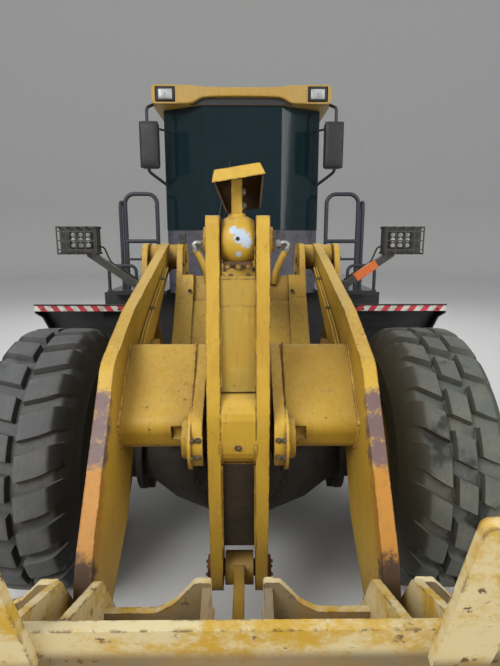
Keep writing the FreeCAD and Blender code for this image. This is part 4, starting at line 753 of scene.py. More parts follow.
def loop(corners, radius, bend=0.03, sides=8):
    """A closed round bar along a polygon whose corners are quarter turns of size bend."""
    p = np.asarray(corners, float)
    t = np.linspace(0, 1, 6)[:, None]
    path = []
    for last, here, following in zip(np.roll(p, 1, 0), p, np.roll(p, -1, 0)):
        a = here + (last - here) / np.linalg.norm(last - here) * bend
        b = here + (following - here) / np.linalg.norm(following - here) * bend
        path.append((1 - t) ** 2 * a + 2 * t * (1 - t) * here + t ** 2 * b)
    path = np.concatenate(path)
    along = np.roll(path, -1, 0) - np.roll(path, 1, 0)
    along /= np.linalg.norm(along, axis=1, keepdims=True)
    square = np.cross(p[1] - p[0], p[2] - p[1])
    square /= np.linalg.norm(square)
    a = np.cross(along, square)
    turn = 2 * pi * np.arange(sides) / sides
    points = path[:, None] + radius * (a[:, None] * np.cos(turn)[:, None] + square * np.sin(turn)[:, None])
    return sheet(points, wrap_rows=True, wrap_columns=True)


def band(corners, width, out, depth):
    """A flat frame: each side runs between the outline and the same outline moved in by width."""
    p = np.asarray(corners, float)
    size = np.linalg.norm(p[1] - p[0]), np.linalg.norm(p[2] - p[1])
    u = (p[1] - p[0]) / size[0]
    v = (p[2] - p[1]) / size[1]
    inner = [p[0] + (u + v) * width, p[1] + (v - u) * width, p[2] - (u + v) * width, p[3] + (u - v) * width]
    return merged(*[slab([p[i], p[(i + 1) % 4], inner[(i + 1) % 4], inner[i]], out, depth) for i in range(4)])


# A front corner facet: where it starts, its width, and its directions along and outwards.
FACET_FOOT = np.array([0.36, 0.56, 0])
FACET_WIDTH = np.hypot(0.37, 0.19)
FACET = np.array([0.37, 0.19, 0.0]) / FACET_WIDTH
FACET_OUT = np.array([0.19, -0.37, 0.0]) / FACET_WIDTH
SEAL_R = 0.009


def fit_windows():
    """Rubber seals, a dark printed band inside the three front panes, and the doors' fittings."""
    low, top = 2.26, 3.27
    front = trapeze((0.338, 0.575, low), (0.338, 0.575, top))
    start = FACET_FOOT + FACET * 0.022 - FACET_OUT * 0.015
    end = start + FACET * (FACET_WIDTH - 0.070)
    quarter = [start + (0, 0, low), end + (0, 0, low), end + (0, 0, top), start + (0, 0, top)]
    side_pane = pane_x(0.7315, 1.70, 2.00, low, top)
    rear = trapeze((0.62, 2.081, low), (0.62, 2.081, top))
    seals = merged(loop(front, SEAL_R), loop(rear, SEAL_R), both_sides(loop(quarter, SEAL_R)),
                   both_sides(loop(side_pane, SEAL_R)))
    piece("window_seals", seals, "rubber_black", "rear_frame", smooth=True)
    inside = np.add(front, (0, 0.0062, 0))
    pane = np.array(quarter) - FACET_OUT * 0.0062
    dark = merged(band(inside, 0.032, FRONT, 0.0008), both_sides(band(pane, 0.026, FACET_OUT, 0.0008)))
    piece("window_bands", dark, "black_plastic", "rear_frame")
    for side, across in SIDES:
        seal = pane_x(across * 0.7305, 0.885, 1.575, 1.92, 3.215)
        gap = pane_x(across * 0.7265, 0.832, 1.628, 1.674, 3.268)
        for name, corners, radius in (("door_seal_", seal, SEAL_R), ("door_gap_rubber_", gap, SEAL_R / 2)):
            piece(name + side, loop(corners, radius), "rubber_black", "door_" + side,
                  smooth=True)
        bolted = [(across * 0.7445, 1.59, z) for z in (1.882, 1.918, 2.982, 3.018)]
        lock = turned((across * 0.7605, 0.91, 1.872), (across, 0, 0), capped((0, 0.011), (0.003, 0.010)), 18)
        piece("door_fittings_" + side, merged(bolts(bolted, (across, 0, 0), 0.007), lock), "bolt_steel",
              "door_" + side)


def fit_windscreen():
    """Outer panes bonded over the front posts, with dark borders behind them."""
    low, top = 2.235, 3.318
    turn = (FACET_OUT + FRONT) / 2
    a = FACET_FOOT + turn * 0.004
    b = np.array([0.728, 0.749, 0]) + FACET_OUT * 0.004
    front = trapeze((a[0], a[1], low), (a[0], a[1], top))
    side = [a + (0, 0, low), b + (0, 0, low), b + (0, 0, top), a + (0, 0, top)]
    glass = merged(slab(front, FRONT, 0.006), both_sides(slab(side, FACET_OUT, 0.006)))
    piece("windscreen_panes", glass, "glass", "rear_frame")
    edge = merged(band(np.add(front, (0, 0.0005, 0)), 0.020, REAR, 0.002),
                  both_sides(band(np.array(side) - FACET_OUT * 0.0005, 0.020, -FACET_OUT, 0.002)))
    piece("windscreen_borders", edge, "black_plastic", "rear_frame")


ROOF_FRONT_Y = 0.548      # back of the fascia


def fit_roof_front():
    """A fascia before the roof: its lower edge rises in the middle and its corners are round.
    Each x has a low and a high edge; the lamp places are left open as frames."""
    x = np.array([0.0, 0.15, 0.28, 0.34, 0.375, 0.41, 0.445, 0.48, 0.575])
    low = np.array([3.392, 3.391, 3.388, 3.384, 3.372, 3.352, 3.336, 3.331, 3.330])
    high = np.array([3.466, 3.467, 3.468, 3.470, 3.474, 3.480, 3.484, 3.485, 3.485])
    depths = ((ROOF_FRONT_Y, 0.0), (0.500, 0.0), (0.494, 0.004), (0.491, 0.010))
    rows = [np.stack([x, np.full_like(x, y), low + shrink], -1) for y, shrink in depths]
    rows += [np.stack([x, np.full_like(x, y), high - shrink], -1) for y, shrink in reversed(depths)]
    middle = barrel(np.stack(rows, 1))
    t = np.linspace(0, pi / 2, 7)
    corner = [(0.765, 3.330), *[(0.765 + 0.033 * np.sin(a), 3.363 - 0.033 * np.cos(a)) for a in t[1:]],
              *[(0.765 + 0.033 * np.cos(a), 3.452 + 0.033 * np.sin(a)) for a in t], (0.765, 3.485)]
    bars = [upright(x0, x1, (ROOF_FRONT_Y, z0), (ROOF_FRONT_Y, z1)) for x0, x1, z0, z1 in (
        (0.575, 0.765, 3.472, 3.485), (0.575, 0.765, 3.330, 3.343), (0.575, 0.588, 3.343, 3.472))]
    outlines = [[(cx, ROOF_FRONT_Y, cz) for cx, cz in corner], *bars]
    ends = [slab(outline, FRONT, 0.056) for outline in outlines]
    piece("roof_fascia", both_sides(merged(middle, *ends)), "roof_yellow", "rear_frame")
    dark = slab(trapeze((0.46, 0.5388, 3.328), (0.40, 0.5388, 3.386)), FRONT, 0.004)
    piece("roof_shade", dark, "black_plastic", "rear_frame")


def fit_wiper():
    """A bent arm from a pivot under the glass, with a thin blade that follows the pane."""
    pivot = turned((-0.235, 0.5605, 2.218), FRONT, capped((0, 0.022), (0.012, 0.020), (0.026, 0.012)), 20)
    arm = tube(smooth_path([(-0.235, 0.536, 2.218), (-0.222, 0.532, 2.30), (-0.20, 0.531, 2.42),
                            (-0.165, 0.533, 2.60)], 10), np.linspace(0.008, 0.005, 31), 8)
    spine = tube([(-0.232, 0.5365, 2.31), (-0.165, 0.5345, 2.60), (-0.105, 0.5365, 2.86)], 0.0045, 8)
    rubber = slab([(-0.235, 0.539, 2.30), (-0.10, 0.539, 2.88), (-0.10, 0.5495, 2.88),
                   (-0.235, 0.5495, 2.30)], RIGHT, 0.003)
    piece("wiper", merged(pivot, arm, spine, rubber), "black_plastic", "rear_frame", smooth=True)


def fit_cab_front():
    """Two louvred vents, a sill strip and bolts on the panels below the windscreen."""
    vents = []
    for across in (-1, 1):
        x = across * 0.19
        vents.append(soft_boxes([(x, 0.5565, 2.10)], (0.11, 0.0045, 0.062), 0.004))
        vents.append(soft_boxes([(x, 0.552, 2.055 + 0.018 * i) for i in range(6)], (0.098, 0.004, 0.0045),
                                0.003, 0.5))
    piece("cab_vents", merged(*vents), "black_plastic", "rear_frame")
    lip = soft_boxes([(0, 0.5535, 2.222)], (0.345, 0.0075, 0.009), 0.005)
    piece("cab_sill_strip", lip, "cab_grey", "rear_frame")
    x, z = np.meshgrid(np.linspace(-0.33, 0.33, 7), (1.70, 2.19))
    heads = np.stack([x.ravel(), np.full(x.size, 0.5598), z.ravel()], -1)
    side = [FACET_FOOT + (0, 0, z) + FACET * d for z in (1.70, 2.19) for d in (0.05, 0.2, 0.36)]
    rows = merged(bolts(heads, FRONT, 0.006), both_sides(bolts(side, FACET_OUT, 0.006)))
    piece("cab_panel_bolts", rows, "cab_grey", "rear_frame")


def fit_roof_trim():
    """A gutter bead under the roof's edge, and lifting bosses on top."""
    path = [(-0.795, 0.545, 3.338), (0.795, 0.545, 3.338), (0.795, 2.195, 3.338), (-0.795, 2.195, 3.338)]
    piece("roof_gutter", loop(path, 0.008, 0.10, 10), "cab_grey", "rear_frame", smooth=True)
    boss = turned([(0.62, 0.75, 3.4845), (0.62, 1.95, 3.4845)], UP, capped((-0.01, 0.035), (0.0, 0.035)), 24)
    piece("roof_bosses", both_sides(boss), "black_plastic", "rear_frame")


# Seat and controls

PAD_PULL = 0.045          # how far a pad's sides pull in between its corners


def cushion(half, crown, channels):
    """A closed pad over (u, v): the top is crowned by (1 - u^4)(1 - v^4) and wrinkled, and sewn channels
    cut it by a narrow valley exp(-(d / width)^2), as do two welts along its sides."""
    run = np.linspace(-1, 1, 56)
    u, v = np.meshgrid(run, run, indexing="ij")
    x = half[0] * u * (1 - PAD_PULL * (1 - v ** 2) * u ** 2)
    y = half[1] * v * (1 - PAD_PULL * (1 - u ** 2) * v ** 2)
    edge = (1 - np.abs(u) ** 8) * (1 - np.abs(v) ** 8)
    body = half[2] * edge ** 0.35
    swell = crown * (1 - u ** 4) * (1 - v ** 4)
    wrinkle = 0.0016 * np.sin(23 * u + 5 * np.sin(4 * v)) * np.sin(9 * v + 2.0 * u) * edge
    top = body + swell + wrinkle
    for line in channels:
        top = top - 0.011 * np.exp(-((v - line) / 0.035) ** 2) * edge
    welt = 0.006 * np.exp(-((np.abs(u) - 0.8) / 0.02) ** 2) * edge
    upper = np.stack([x, y, top - welt], -1)
    under = np.stack([x, y, -body * 0.92], -1)
    return merged(sheet(upper), sheet(under[::-1]))


def placed(shape, turn, centre):
    """A shape turned about X by an angle and moved."""
    points, faces = shape
    c, s = np.cos(turn), np.sin(turn)
    x, y, z = points.T
    return np.stack([x, y * c - z * s, y * s + z * c], -1) + centre, faces


def fit_seat():
    """A sprung seat: bellows under a cushion, a back and a head pad with sewn channels."""
    lean = pi / 2 + 0.06
    pads = (("seat_cushion", (0.255, 0.25, 0.055), 0.022, (-0.62, -0.2, 0.22, 0.62), 0.04, (0, 1.535, 2.005)),
            ("seat_back", (0.245, 0.30, 0.045), 0.018, (-0.6, -0.2, 0.2, 0.6), lean, (0, 1.755, 2.37)),
            ("seat_head_pad", (0.125, 0.09, 0.034), 0.012, (), lean, (0, 1.745, 2.73)))
    for name, half, crown, channels, turn, centre in pads:
        shape = placed(cushion(half, crown, channels), turn, centre)
        made = piece(name, shape, "seat_cloth", "rear_frame", smooth=True)
        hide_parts("seat")
    height = np.linspace(0, 0.26, 27)
    wave = 0.012 * np.abs(np.sin(np.arange(27) * pi / 3))
    t = 2 * pi * np.arange(48) / 48
    square = 1 / (np.abs(np.cos(t)) ** 8 + np.abs(np.sin(t)) ** 8) ** 0.125
    r = square[None, :] * (0.155 + wave[:, None])
    points = np.stack([r * np.cos(t), 1.555 + r * np.sin(t),
                       np.broadcast_to(1.665 + height[:, None], r.shape)], -1)
    piece("seat_bellows", barrel(points), "rubber_black", "rear_frame", smooth=True)
    rests = soft_boxes([(-0.285, 1.53, 2.19), (0.285, 1.53, 2.19)], (0.028, 0.16, 0.022), 0.018)
    stays = merged(*[tube([(x, 1.70, 2.17), (x, 1.73, 2.05), (x * 0.86, 1.75, 1.99)], 0.012, 10)
                     for x in (-0.285, 0.285)])
    pan = soft_boxes([(0, 1.54, 1.938)], (0.235, 0.22, 0.014), 0.010)
    posts = merged(*[tube([(x, 1.762, 2.60), (x, 1.752, 2.72)], 0.006, 8) for x in (-0.06, 0.06)])
    piece("seat_arm_rests", merged(rests, stays, pan, posts), "black_plastic", "rear_frame",
          smooth=True)
    buckle = soft_boxes([(0.245, 1.68, 2.10)], (0.012, 0.020, 0.045), 0.006)
    piece("seat_buckle", buckle, "black_plastic", "rear_frame")


def fit_controls():
    """A round wheel rim over its core, levers with knobs, and a screen."""
    axis = np.array([0, 0.2137, 0.9769])
    centre = np.array([0, 1.095, 2.325])
    core = ring_of(centre, axis, 0.2, 64)
    _, a, b = frames(axis)
    t = 2 * pi * np.arange(64) / 64
    outward = np.cos(t)[:, None] * a + np.sin(t)[:, None] * b
    turn = 2 * pi * np.arange(14) / 14
    grip = 0.0205 + 0.0012 * np.cos(32 * t)
    points = core[:, None] + grip[:, None, None] * (outward[:, None] * np.cos(turn)[:, None]
                                                    + axis * np.sin(turn)[:, None])
    piece("steering_wheel_rim", sheet(points, True, True), "rubber_black", "rear_frame",
          smooth=True)
    levers, knobs = [], []
    for x, y in ((0.335, 1.32), (0.385, 1.32), (0.36, 1.43)):
        levers.append(tube(smooth_path([(x, y, 2.135), (x, y - 0.01, 2.20), (x, y - 0.03, 2.27)]), 0.006, 10))
        levers.append(turned((x, y, 2.139), UP, capped((0, 0.024), (0.010, 0.018), (0.022, 0.009)), 20))
        knobs.append(turned((x, y - 0.032, 2.262), (0, -0.3, 1),
                            [(0, 0), (0, 0.012), (0.012, 0.019), (0.028, 0.021), (0.042, 0.015), (0.048, 0)],
                            18))
    piece("lever_stems", merged(*levers), "bolt_steel", "rear_frame", smooth=True)
    knobs.append(soft_boxes([(0.0, 0.905, 2.275)], (0.115, 0.05, 0.008), 0.006, 0.5))
    knobs.append(soft_boxes([(-0.06 + 0.03 * i, 0.965, 2.262) for i in range(5)], (0.010, 0.006, 0.006),
                            0.003, 0.3))
    piece("lever_knobs", merged(*knobs), "black_plastic", "rear_frame", smooth=True)


# Arms, rocker and cylinders

def fit_arm_details():
    """Weld beads where the cross tube meets the plates, pin keepers, collar bolts, pipes and clips."""
    corners = [(AXLES["front"] - ahead, z) for ahead, z in (
        (0.620, 1.652), (0.935, 1.347), (0.892, 1.228), (0.640, 1.128), (0.450, 1.328))]
    beads = [weld((0.5335, *a), (0.5335, *b), 0.009) for a, b in zip(corners, corners[1:])]
    beads.append(weld((0.2125, *corners[0]), (0.2125, *corners[1]), 0.007))
    piece("arm_welds", both_sides(merged(*beads)), "arm_yellow", "lift_arms", smooth=True)
    collar = bolts([(dx, -2.2195, dz) for dx in (0.166, 0.194) for dz in (1.262, 1.338)], FRONT, 0.0085)
    keeper = bolts(ring_of((0.597, *ARM_PIVOT), RIGHT, 0.075, 8), RIGHT, 0.008)
    nose = bolts(ring_of((0.5965, *BUCKET_PIVOT), RIGHT, 0.09, 6), RIGHT, 0.008)
    piece("arm_bolts", both_sides(merged(collar, keeper, nose)), "bolt_steel", "lift_arms")
    clips, pipes = [], []
    for x0 in (0.5255, 0.5095):
        path = smooth_path([(x0, -0.72, 1.955), (x0, -1.15, 1.80), (x0, -1.45, 1.685), (x0, -1.62, 1.60)], 8)
        pipes.append(tube(path, 0.0065, 10))
    for y, z in ((-0.90, 1.892), (-1.28, 1.752)):
        clips.append(soft_boxes([(0.5185, y, z)], (0.0155, 0.014, 0.010), 0.003, 0.36))
    piece("arm_pipes", both_sides(merged(*pipes)), "pipe_yellow", "lift_arms", smooth=True)
    piece("arm_pipe_clips", both_sides(merged(*clips)), "bolt_steel", "lift_arms")


def fit_rocker_details():
    """Weld beads round the webs and boss, the boss's cover, a dark brown sheet of painted shade on the lower
    web and an olive panel on the upper web whose darker tint is painted shade, a grease nipple, the pivot's
    collars, and bolts on the pins."""
    beads = [weld((WEB_X, -2.165, z0), (WEB_X, -2.165 + dy, z1), 0.006)
             for z0, z1, dy in ((0.80, 1.20, 0.0), (1.55, 1.88, 0.02))]
    y, z = ROCKER_PIVOT
    t = np.linspace(0, 2 * pi, 90)
    ring = np.stack([np.full(90, 0.0725), y + BOSS_R * np.cos(t), z + BOSS_R * np.sin(t)], -1)
    beads.append(tube(ring, 0.006 * (1 + 0.15 * np.sin(45 * t)), 7))
    piece("rocker_welds", both_sides(merged(*beads)), "rocker_yellow", "rocker",
          smooth=True)
    # Painted shade: a dark brown sheet over the lower web's front, where the web lies in shade between the
    # plates.
    web = slab(trapeze((WEB_X, -2.1412, 0.80), (WEB_X, -2.1662, 1.208)), FRONT, 0.001)
    piece("rocker_web_painted_shade", web, "web_painted_shade", "rocker")
    t = np.linspace(-pi / 2, pi / 2, 13)
    front = [*zip(y - BOSS_R * np.cos(t[:7]), z + BOSS_R * np.sin(t[:7])),
             *zip(y - 0.116 * np.cos(t[6:]), 1.42 + 0.116 * np.sin(t[6:]))]
    boss = slab([(-WEB_X, *spot) for spot in [(y, 1.195), *front, (y, 1.536)]], RIGHT, 2 * WEB_X)
    piece("rocker_boss_cover", boss, "rocker_yellow", "rocker")
    # The upper web's panel is real; its olive yellow, darker than the plates, is painted shade.
    panel = [slab(trapeze((WEB_X, *foot), (WEB_X, *head)), FRONT, 0.004)
             for foot, head in (((-2.1605, 1.53), (-2.1355, 1.888)), ((-2.1355, 1.886), (-2.128, 2.004)))]
    rim = soft_boxes([(0, -2.122, 2.002)], (WEB_X, 0.012, 0.006), 0.004)
    piece("rocker_web_panel", merged(*panel, rim), "web_olive_painted_shade", "rocker")
    collar = turned((0.2125, y, z), RIGHT, [(0, 0.0775), (0, 0.089), (0.027, 0.089), (0.030, 0.086),
                                                     (0.030, 0.0775), (0, 0.0775)], 48)
    piece("rocker_pin_collars", both_sides(collar), "arm_yellow", "lift_arms")
    nipple = turned((0, -2.2045, z), FRONT, capped((0, 0.017), (0.003, 0.016), (0.004, 0.008), (0.012, 0.006),
                                                   (0.016, 0.0075), (0.019, 0.004)), 16)
    piece("rocker_nipple", nipple, "bolt_steel", "rocker", smooth=True)
    for name, body, centre, radius, count, start, size in (
            ("rocker_pin_bolts", "rocker", (0.1445, *ROD_EYE), 0.034, 4, 0.4, 0.008),
            ("link_pin_bolts", "link_pin", (0.148, *LINK_PIN), 0.032, 3, 0.0, 0.008),
            ("rocker_pivot_bolts", "rocker_pin", (0.2302, *ROCKER_PIVOT), 0.052, 6, 0.0, 0.010)):
        heads = bolts(ring_of(centre, RIGHT, radius, count, start), RIGHT, size)
        piece(name, both_sides(heads), "bolt_steel", body)


GUARD_TILT = radians(9)
GUARD_Z = 2.42


def rolled(points):
    """Points turned about the guard's long axis, so that the right side is up."""
    x, y, z = np.asarray(points, float).T
    c, s = np.cos(GUARD_TILT), np.sin(GUARD_TILT)
    return np.stack([x * c - (z - GUARD_Z) * s, y, GUARD_Z + x * s + (z - GUARD_Z) * c], -1)


def fit_rod_end():
    """Rod eye: a ball cut flat on both sides, r = sqrt(R^2 - x^2), its stem, a square post and the
    open hood on it, of flat plates that taper downwards."""
    eye, foot = np.array([0, *ROD_EYE]), np.array([0, *TILT_FOOT])
    h = np.linspace(-0.068, 0.068, 25)
    profile = capped((-0.068, 0.070), *zip(h, np.sqrt(0.105 ** 2 - h ** 2)), (0.068, 0.070))
    ball = turned(eye, RIGHT, profile, 72)
    back = (foot - eye) / np.linalg.norm(foot - eye)
    neck = turned(eye, back, capped((0.06, 0.064), (0.142, 0.062), (0.15, 0.056)), 40)
    cone = turned((-0.004, -2.03, 2.236), UP, capped((0, 0.046), (0.012, 0.038), (0.024, 0.033)), 32)
    post = turned((-0.004, -2.03, 2.24), UP, capped((0, 0.0315), (0.155, 0.0315)), 4, pi / 4)
    made = piece("rod_eye", merged(ball, neck, cone), "rod_end", "tilt_rod", smooth=True)
    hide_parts("tilt_rod")
    piece("guard_post", post, "rod_end", "tilt_rod")
    stem = turned(eye, back, capped((0.145, 0.048), (0.795, 0.048)), 48)
    piece("tilt_rod_stem", stem, "polished_steel", "tilt_rod", smooth=True)
    top = slab(rolled(trapeze((0.088, -2.13, 2.425), (0.112, -1.83, 2.425))), UP, 0.008)
    lip = slab(rolled(trapeze((0.090, -2.131, 2.432), (0.106, -2.142, 2.386))), FRONT, 0.008)
    piece("guard_hood", merged(top, lip), "rod_end", "tilt_rod")
    cheek = np.array([(0.100, -2.138, 2.39), (0.108, -1.84, 2.424), (0.074, -1.90, 2.275),
                      (0.072, -2.07, 2.272)])
    cheeks = [slab(rolled(cheek * (across, 1, 1)), (-across, 0, 0), 0.006) for across in (-1, 1)]
    rear = slab(rolled(trapeze((0.106, -1.842, 2.424), (0.070, -1.90, 2.275))), FRONT, 0.006)
    piece("guard_cheeks", merged(*cheeks, rear), "guard_rust", "tilt_rod")
    gland = bolts([(x, -2.094, 2.043) for x in (-0.045, 0.0, 0.045)], (0, -0.75, -0.5), 0.0085)
    cap = soft_boxes([(0, -2.082, 2.052)], (0.060, 0.014, 0.012), 0.006, 0.5)
    piece("rod_eye_cap", cap, "guard_rust", "tilt_rod")
    side = bolts([(0.0225, -2.03, z) for z in (2.292, 2.345)], (0.8, -0.6, 0), 0.010)
    piece("rod_eye_bolts", gland, "brass_bolts", "tilt_rod")
    piece("guard_bolts", side, "bright_steel", "tilt_rod")
    hole = turned((0.0, -2.1242, 2.157), FRONT, capped((0, 0.0085), (0.0015, 0.008)), 20)
    piece("rod_eye_hole", hole, "rubber_black", "tilt_rod", smooth=True)


def fit_cylinder_pipes():
    """Steel pipes that follow the barrels, with bright unions; each runs along base + t * line."""
    base = np.array([0, *TILT_FOOT])
    line = np.array([0, *ROD_EYE]) - base
    line /= np.linalg.norm(line)
    up = np.array([0, line[2], -line[1]])
    pipes, unions, clips = [], [], []
    for across in (-1, 1):
        out = np.array([across, 0, 0])
        side = base + out * 0.150 + up * 0.045
        pipes.append(tube(smooth_path([side + line * 0.20, side + line * 0.45, side + line * 0.80,
                                       side + line * 0.875 - out * 0.005 + up * 0.005,
                                       base + out * 0.110 + up * 0.050 + line * 0.895], 10), 0.0135, 14))
        nuts = [side + line * d for d in (0.215, 0.835)]
        unions.append(turned(nuts, line, capped((-0.022, 0.018), (-0.019, 0.021), (0.019, 0.021),
                                                (0.022, 0.018)), 6))
        unions.append(turned([p + line * 0.028 for p in nuts], line,
                             capped((-0.006, 0.018), (0.010, 0.018), (0.013, 0.0155)), 18))
        clips.append(soft_boxes([base + out * 0.128 + up * 0.045 + line * 0.52], (0.036, 0.016, 0.020),
                                0.005, 0.2))
    piece("tilt_pipes", merged(*pipes), "pipe_yellow", "tilt_barrel", smooth=True)
    piece("tilt_unions", merged(*unions), "bright_steel", "tilt_barrel")
    piece("tilt_clips", merged(*clips), "bolt_steel", "tilt_barrel")
    for side, across in SIDES:
        start = np.array([across * 0.565, *LIFT_FOOT])
        run = np.array([across * 0.565, *LIFT_EYE]) - start
        run /= np.linalg.norm(run)
        over = np.array([0, run[2], -run[1]])
        high = start + over * 0.108
        shape = tube(smooth_path([high + run * 0.16 - over * 0.02, high + run * 0.22, high + run * 0.70,
                                  high + run * 0.99, high + run * 1.045 - over * 0.012], 9), 0.011, 12)
        piece("lift_pipe_" + side, shape, "pipe_yellow", "lift_barrel_" + side, smooth=True)
        gland = bolts(ring_of(start + run * 1.1052, run, 0.084, 10), run, 0.007)
        piece("lift_gland_bolts_" + side, gland, "bolt_steel", "lift_barrel_" + side)
    gland = bolts(ring_of(base + line * 0.9002, line, 0.092, 12), line, 0.008)
    piece("tilt_gland_bolts", gland, "bolt_steel", "tilt_barrel")


# Front frame

def fit_front_frame():
    """Grommets, bolts, flange plates, risers, a sensor, a valve block with pipes, and weld beads."""
    rings, heads, beads = [], [], []
    for y, z, r in ((-0.52, 1.86, 0.026), (-0.47, 1.66, 0.020), (-0.66, 1.50, 0.024)):
        rings.append(turned((0.4165, y, z), (-1, 0, 0), [(0, 0.0), (0, r), (0.006, r), (0.009, r * 0.85),
                                                        (0.005, r * 0.6), (0.002, r * 0.55), (0.002, 0)], 24))
    for y, z in ((-0.60, 1.97), (-0.42, 1.90), (-0.56, 1.74), (-0.74, 1.36), (-0.42, 1.50)):
        heads.append(bolts((0.4158, y, z), (-1, 0, 0), 0.010))
    heads.append(bolts(ring_of((0.7295, *ARM_PIVOT), RIGHT, 0.045, 4), RIGHT, 0.009))
    piece("tower_grommets", both_sides(merged(*rings)), "rubber_black", "front_frame",
          smooth=True)
    piece("tower_bolts", both_sides(merged(*heads)), "bolt_steel", "front_frame")
    for x in (0.4145, 0.4575):
        beads.append(weld((x, -0.73, 1.72), (x, -1.16, 1.205), 0.007))
    beads.append(weld((0.410, -0.70, 1.716), (-0.410, -0.70, 1.716), 0.007))
    beads.append(weld((0.674, -0.59, 0.938), (0.458, -0.59, 0.938), 0.007))
    piece("frame_welds", both_sides(merged(*beads)), "frame_yellow", "front_frame",
          smooth=True)
    plates = []
    path = [(-0.658, 1.905), (-0.728, 1.752), (-1.182, 1.192)]
    for foot, head in zip(path, path[1:]):
        plates.append(slab(upright(0.335, 0.4575, foot, head), FRONT, 0.010))
    plates.append(slab(upright(0.205, 0.335, (-0.618, 1.895), (-0.70, 1.715)), FRONT, 0.008))
    edge = [(0.335, -0.56, 1.895), (0.335, -0.662, 1.905), (0.335, -0.735, 1.752), (0.335, -0.62, 1.715)]
    plates.append(slab(edge, RIGHT, 0.012))
    piece("tower_flanges", both_sides(merged(*plates)), "frame_yellow", "front_frame")
    riser = tube(smooth_path([(0.232, -0.66, 1.84), (0.245, -0.665, 1.92), (0.285, -0.67, 2.02),
                              (0.325, -0.672, 2.09)]), 0.024, 18)
    elbow = tube(smooth_path([(0.322, -0.672, 2.085), (0.328, -0.672, 2.112), (0.305, -0.672, 2.128),
                              (0.262, -0.668, 2.118)]), 0.018, 16)
    collar = turned([(0.318, -0.672, 2.078), (0.262, -0.668, 2.118)], [(0.5, 0, 0.87), (1, 0, 0.1)],
                    capped((-0.014, 0.030), (0.014, 0.030)), 6)
    piece("frame_risers", both_sides(riser), "frame_yellow", "front_frame", smooth=True)
    piece("riser_unions", both_sides(merged(elbow, collar)), "bright_steel", "front_frame",
          smooth=True)
    holes = turned([(0.357, -0.740, 1.800), (0.40, -1.010, 1.418)], (0, -0.8, 0.6),
                   capped((0, 0.013), (0.0015, 0.0125)), 18)
    piece("flange_holes", both_sides(holes), "rubber_black", "front_frame")
    sensor = merged(soft_boxes([(-0.425, -0.52, 2.155)], (0.024, 0.028, 0.036), 0.005),
                    turned((-0.425, -0.549, 2.165), FRONT, capped((0, 0.012), (0.006, 0.010)), 16))
    piece("tower_sensor", sensor, "lamp_grey", "front_frame")
    block = soft_boxes([(-0.375, -0.62, 1.79)], (0.034, 0.045, 0.055), 0.006)
    spool = turned([(-0.375, -0.665, z) for z in (1.76, 1.79, 1.82)], FRONT,
                   capped((0, 0.012), (0.012, 0.012), (0.014, 0.009), (0.022, 0.009)), 14)
    piece("valve_block", merged(block, spool), "rusty_steel", "front_frame", smooth=True)
    runs = [tube(smooth_path(points, 12), 0.012, 12) for points in (
        [(-0.375, -0.60, 1.735), (-0.372, -0.60, 1.66), (-0.36, -0.55, 1.56), (-0.34, -0.42, 1.46),
         (-0.33, -0.30, 1.395)],
        [(0.375, -0.58, 1.735), (0.372, -0.58, 1.66), (0.36, -0.52, 1.56), (0.34, -0.40, 1.47),
         (0.33, -0.28, 1.395)])]
    piece("frame_pipes", merged(*runs), "pipe_yellow", "front_frame", smooth=True)


# Bucket

def fit_bucket_details():
    """Weld seams along the ears and across the back wall, and bolts on the cutting edge."""
    lean = np.tan(radians(20))

    def wall(x, z, out):
        """A point at height z, by out behind the back wall, whose rim is 1.23 m up."""
        return np.array([x, AXLES["front"] - (1.91 + (z - 1.23) * lean) + out, z])

    beads = [weld(wall(x, 0.46, 0.004), wall(x, 1.14, 0.004), 0.007)
             for x in (0.4735, 0.5065, 0.6185, 0.6515)]
    beads += [weld(wall(x0, 0.953, 0.003), wall(x1, 0.953, 0.003), 0.007)
              for x0, x1 in ((0.10, 0.47), (0.655, 1.08))]
    beads.append(weld((0.498, -3.092, 1.232), (0.638, -3.092, 1.232), 0.008))
    piece("bucket_welds", both_sides(merged(*beads)), "bucket", "bucket", smooth=True)
    x = np.arange(0.12, 1.42, 0.26)
    heads = np.stack([x, np.full(x.size, -3.995), np.full(x.size, 0.0335)], -1)
    piece("edge_bolts", both_sides(bolts(heads, (0, 0.5, 0.87), 0.013)), "bolt_steel", "bucket")


# Platforms and rails

RAIL_FEET = ((1.10, 0.60, 0.019), (0.80, 0.60, 0.019), (1.15, 0.61, 0.016), (1.15, 0.75, 0.016),
             (1.02, 0.58, 0.016), (1.28, 0.58, 0.016))      # x, y and radius


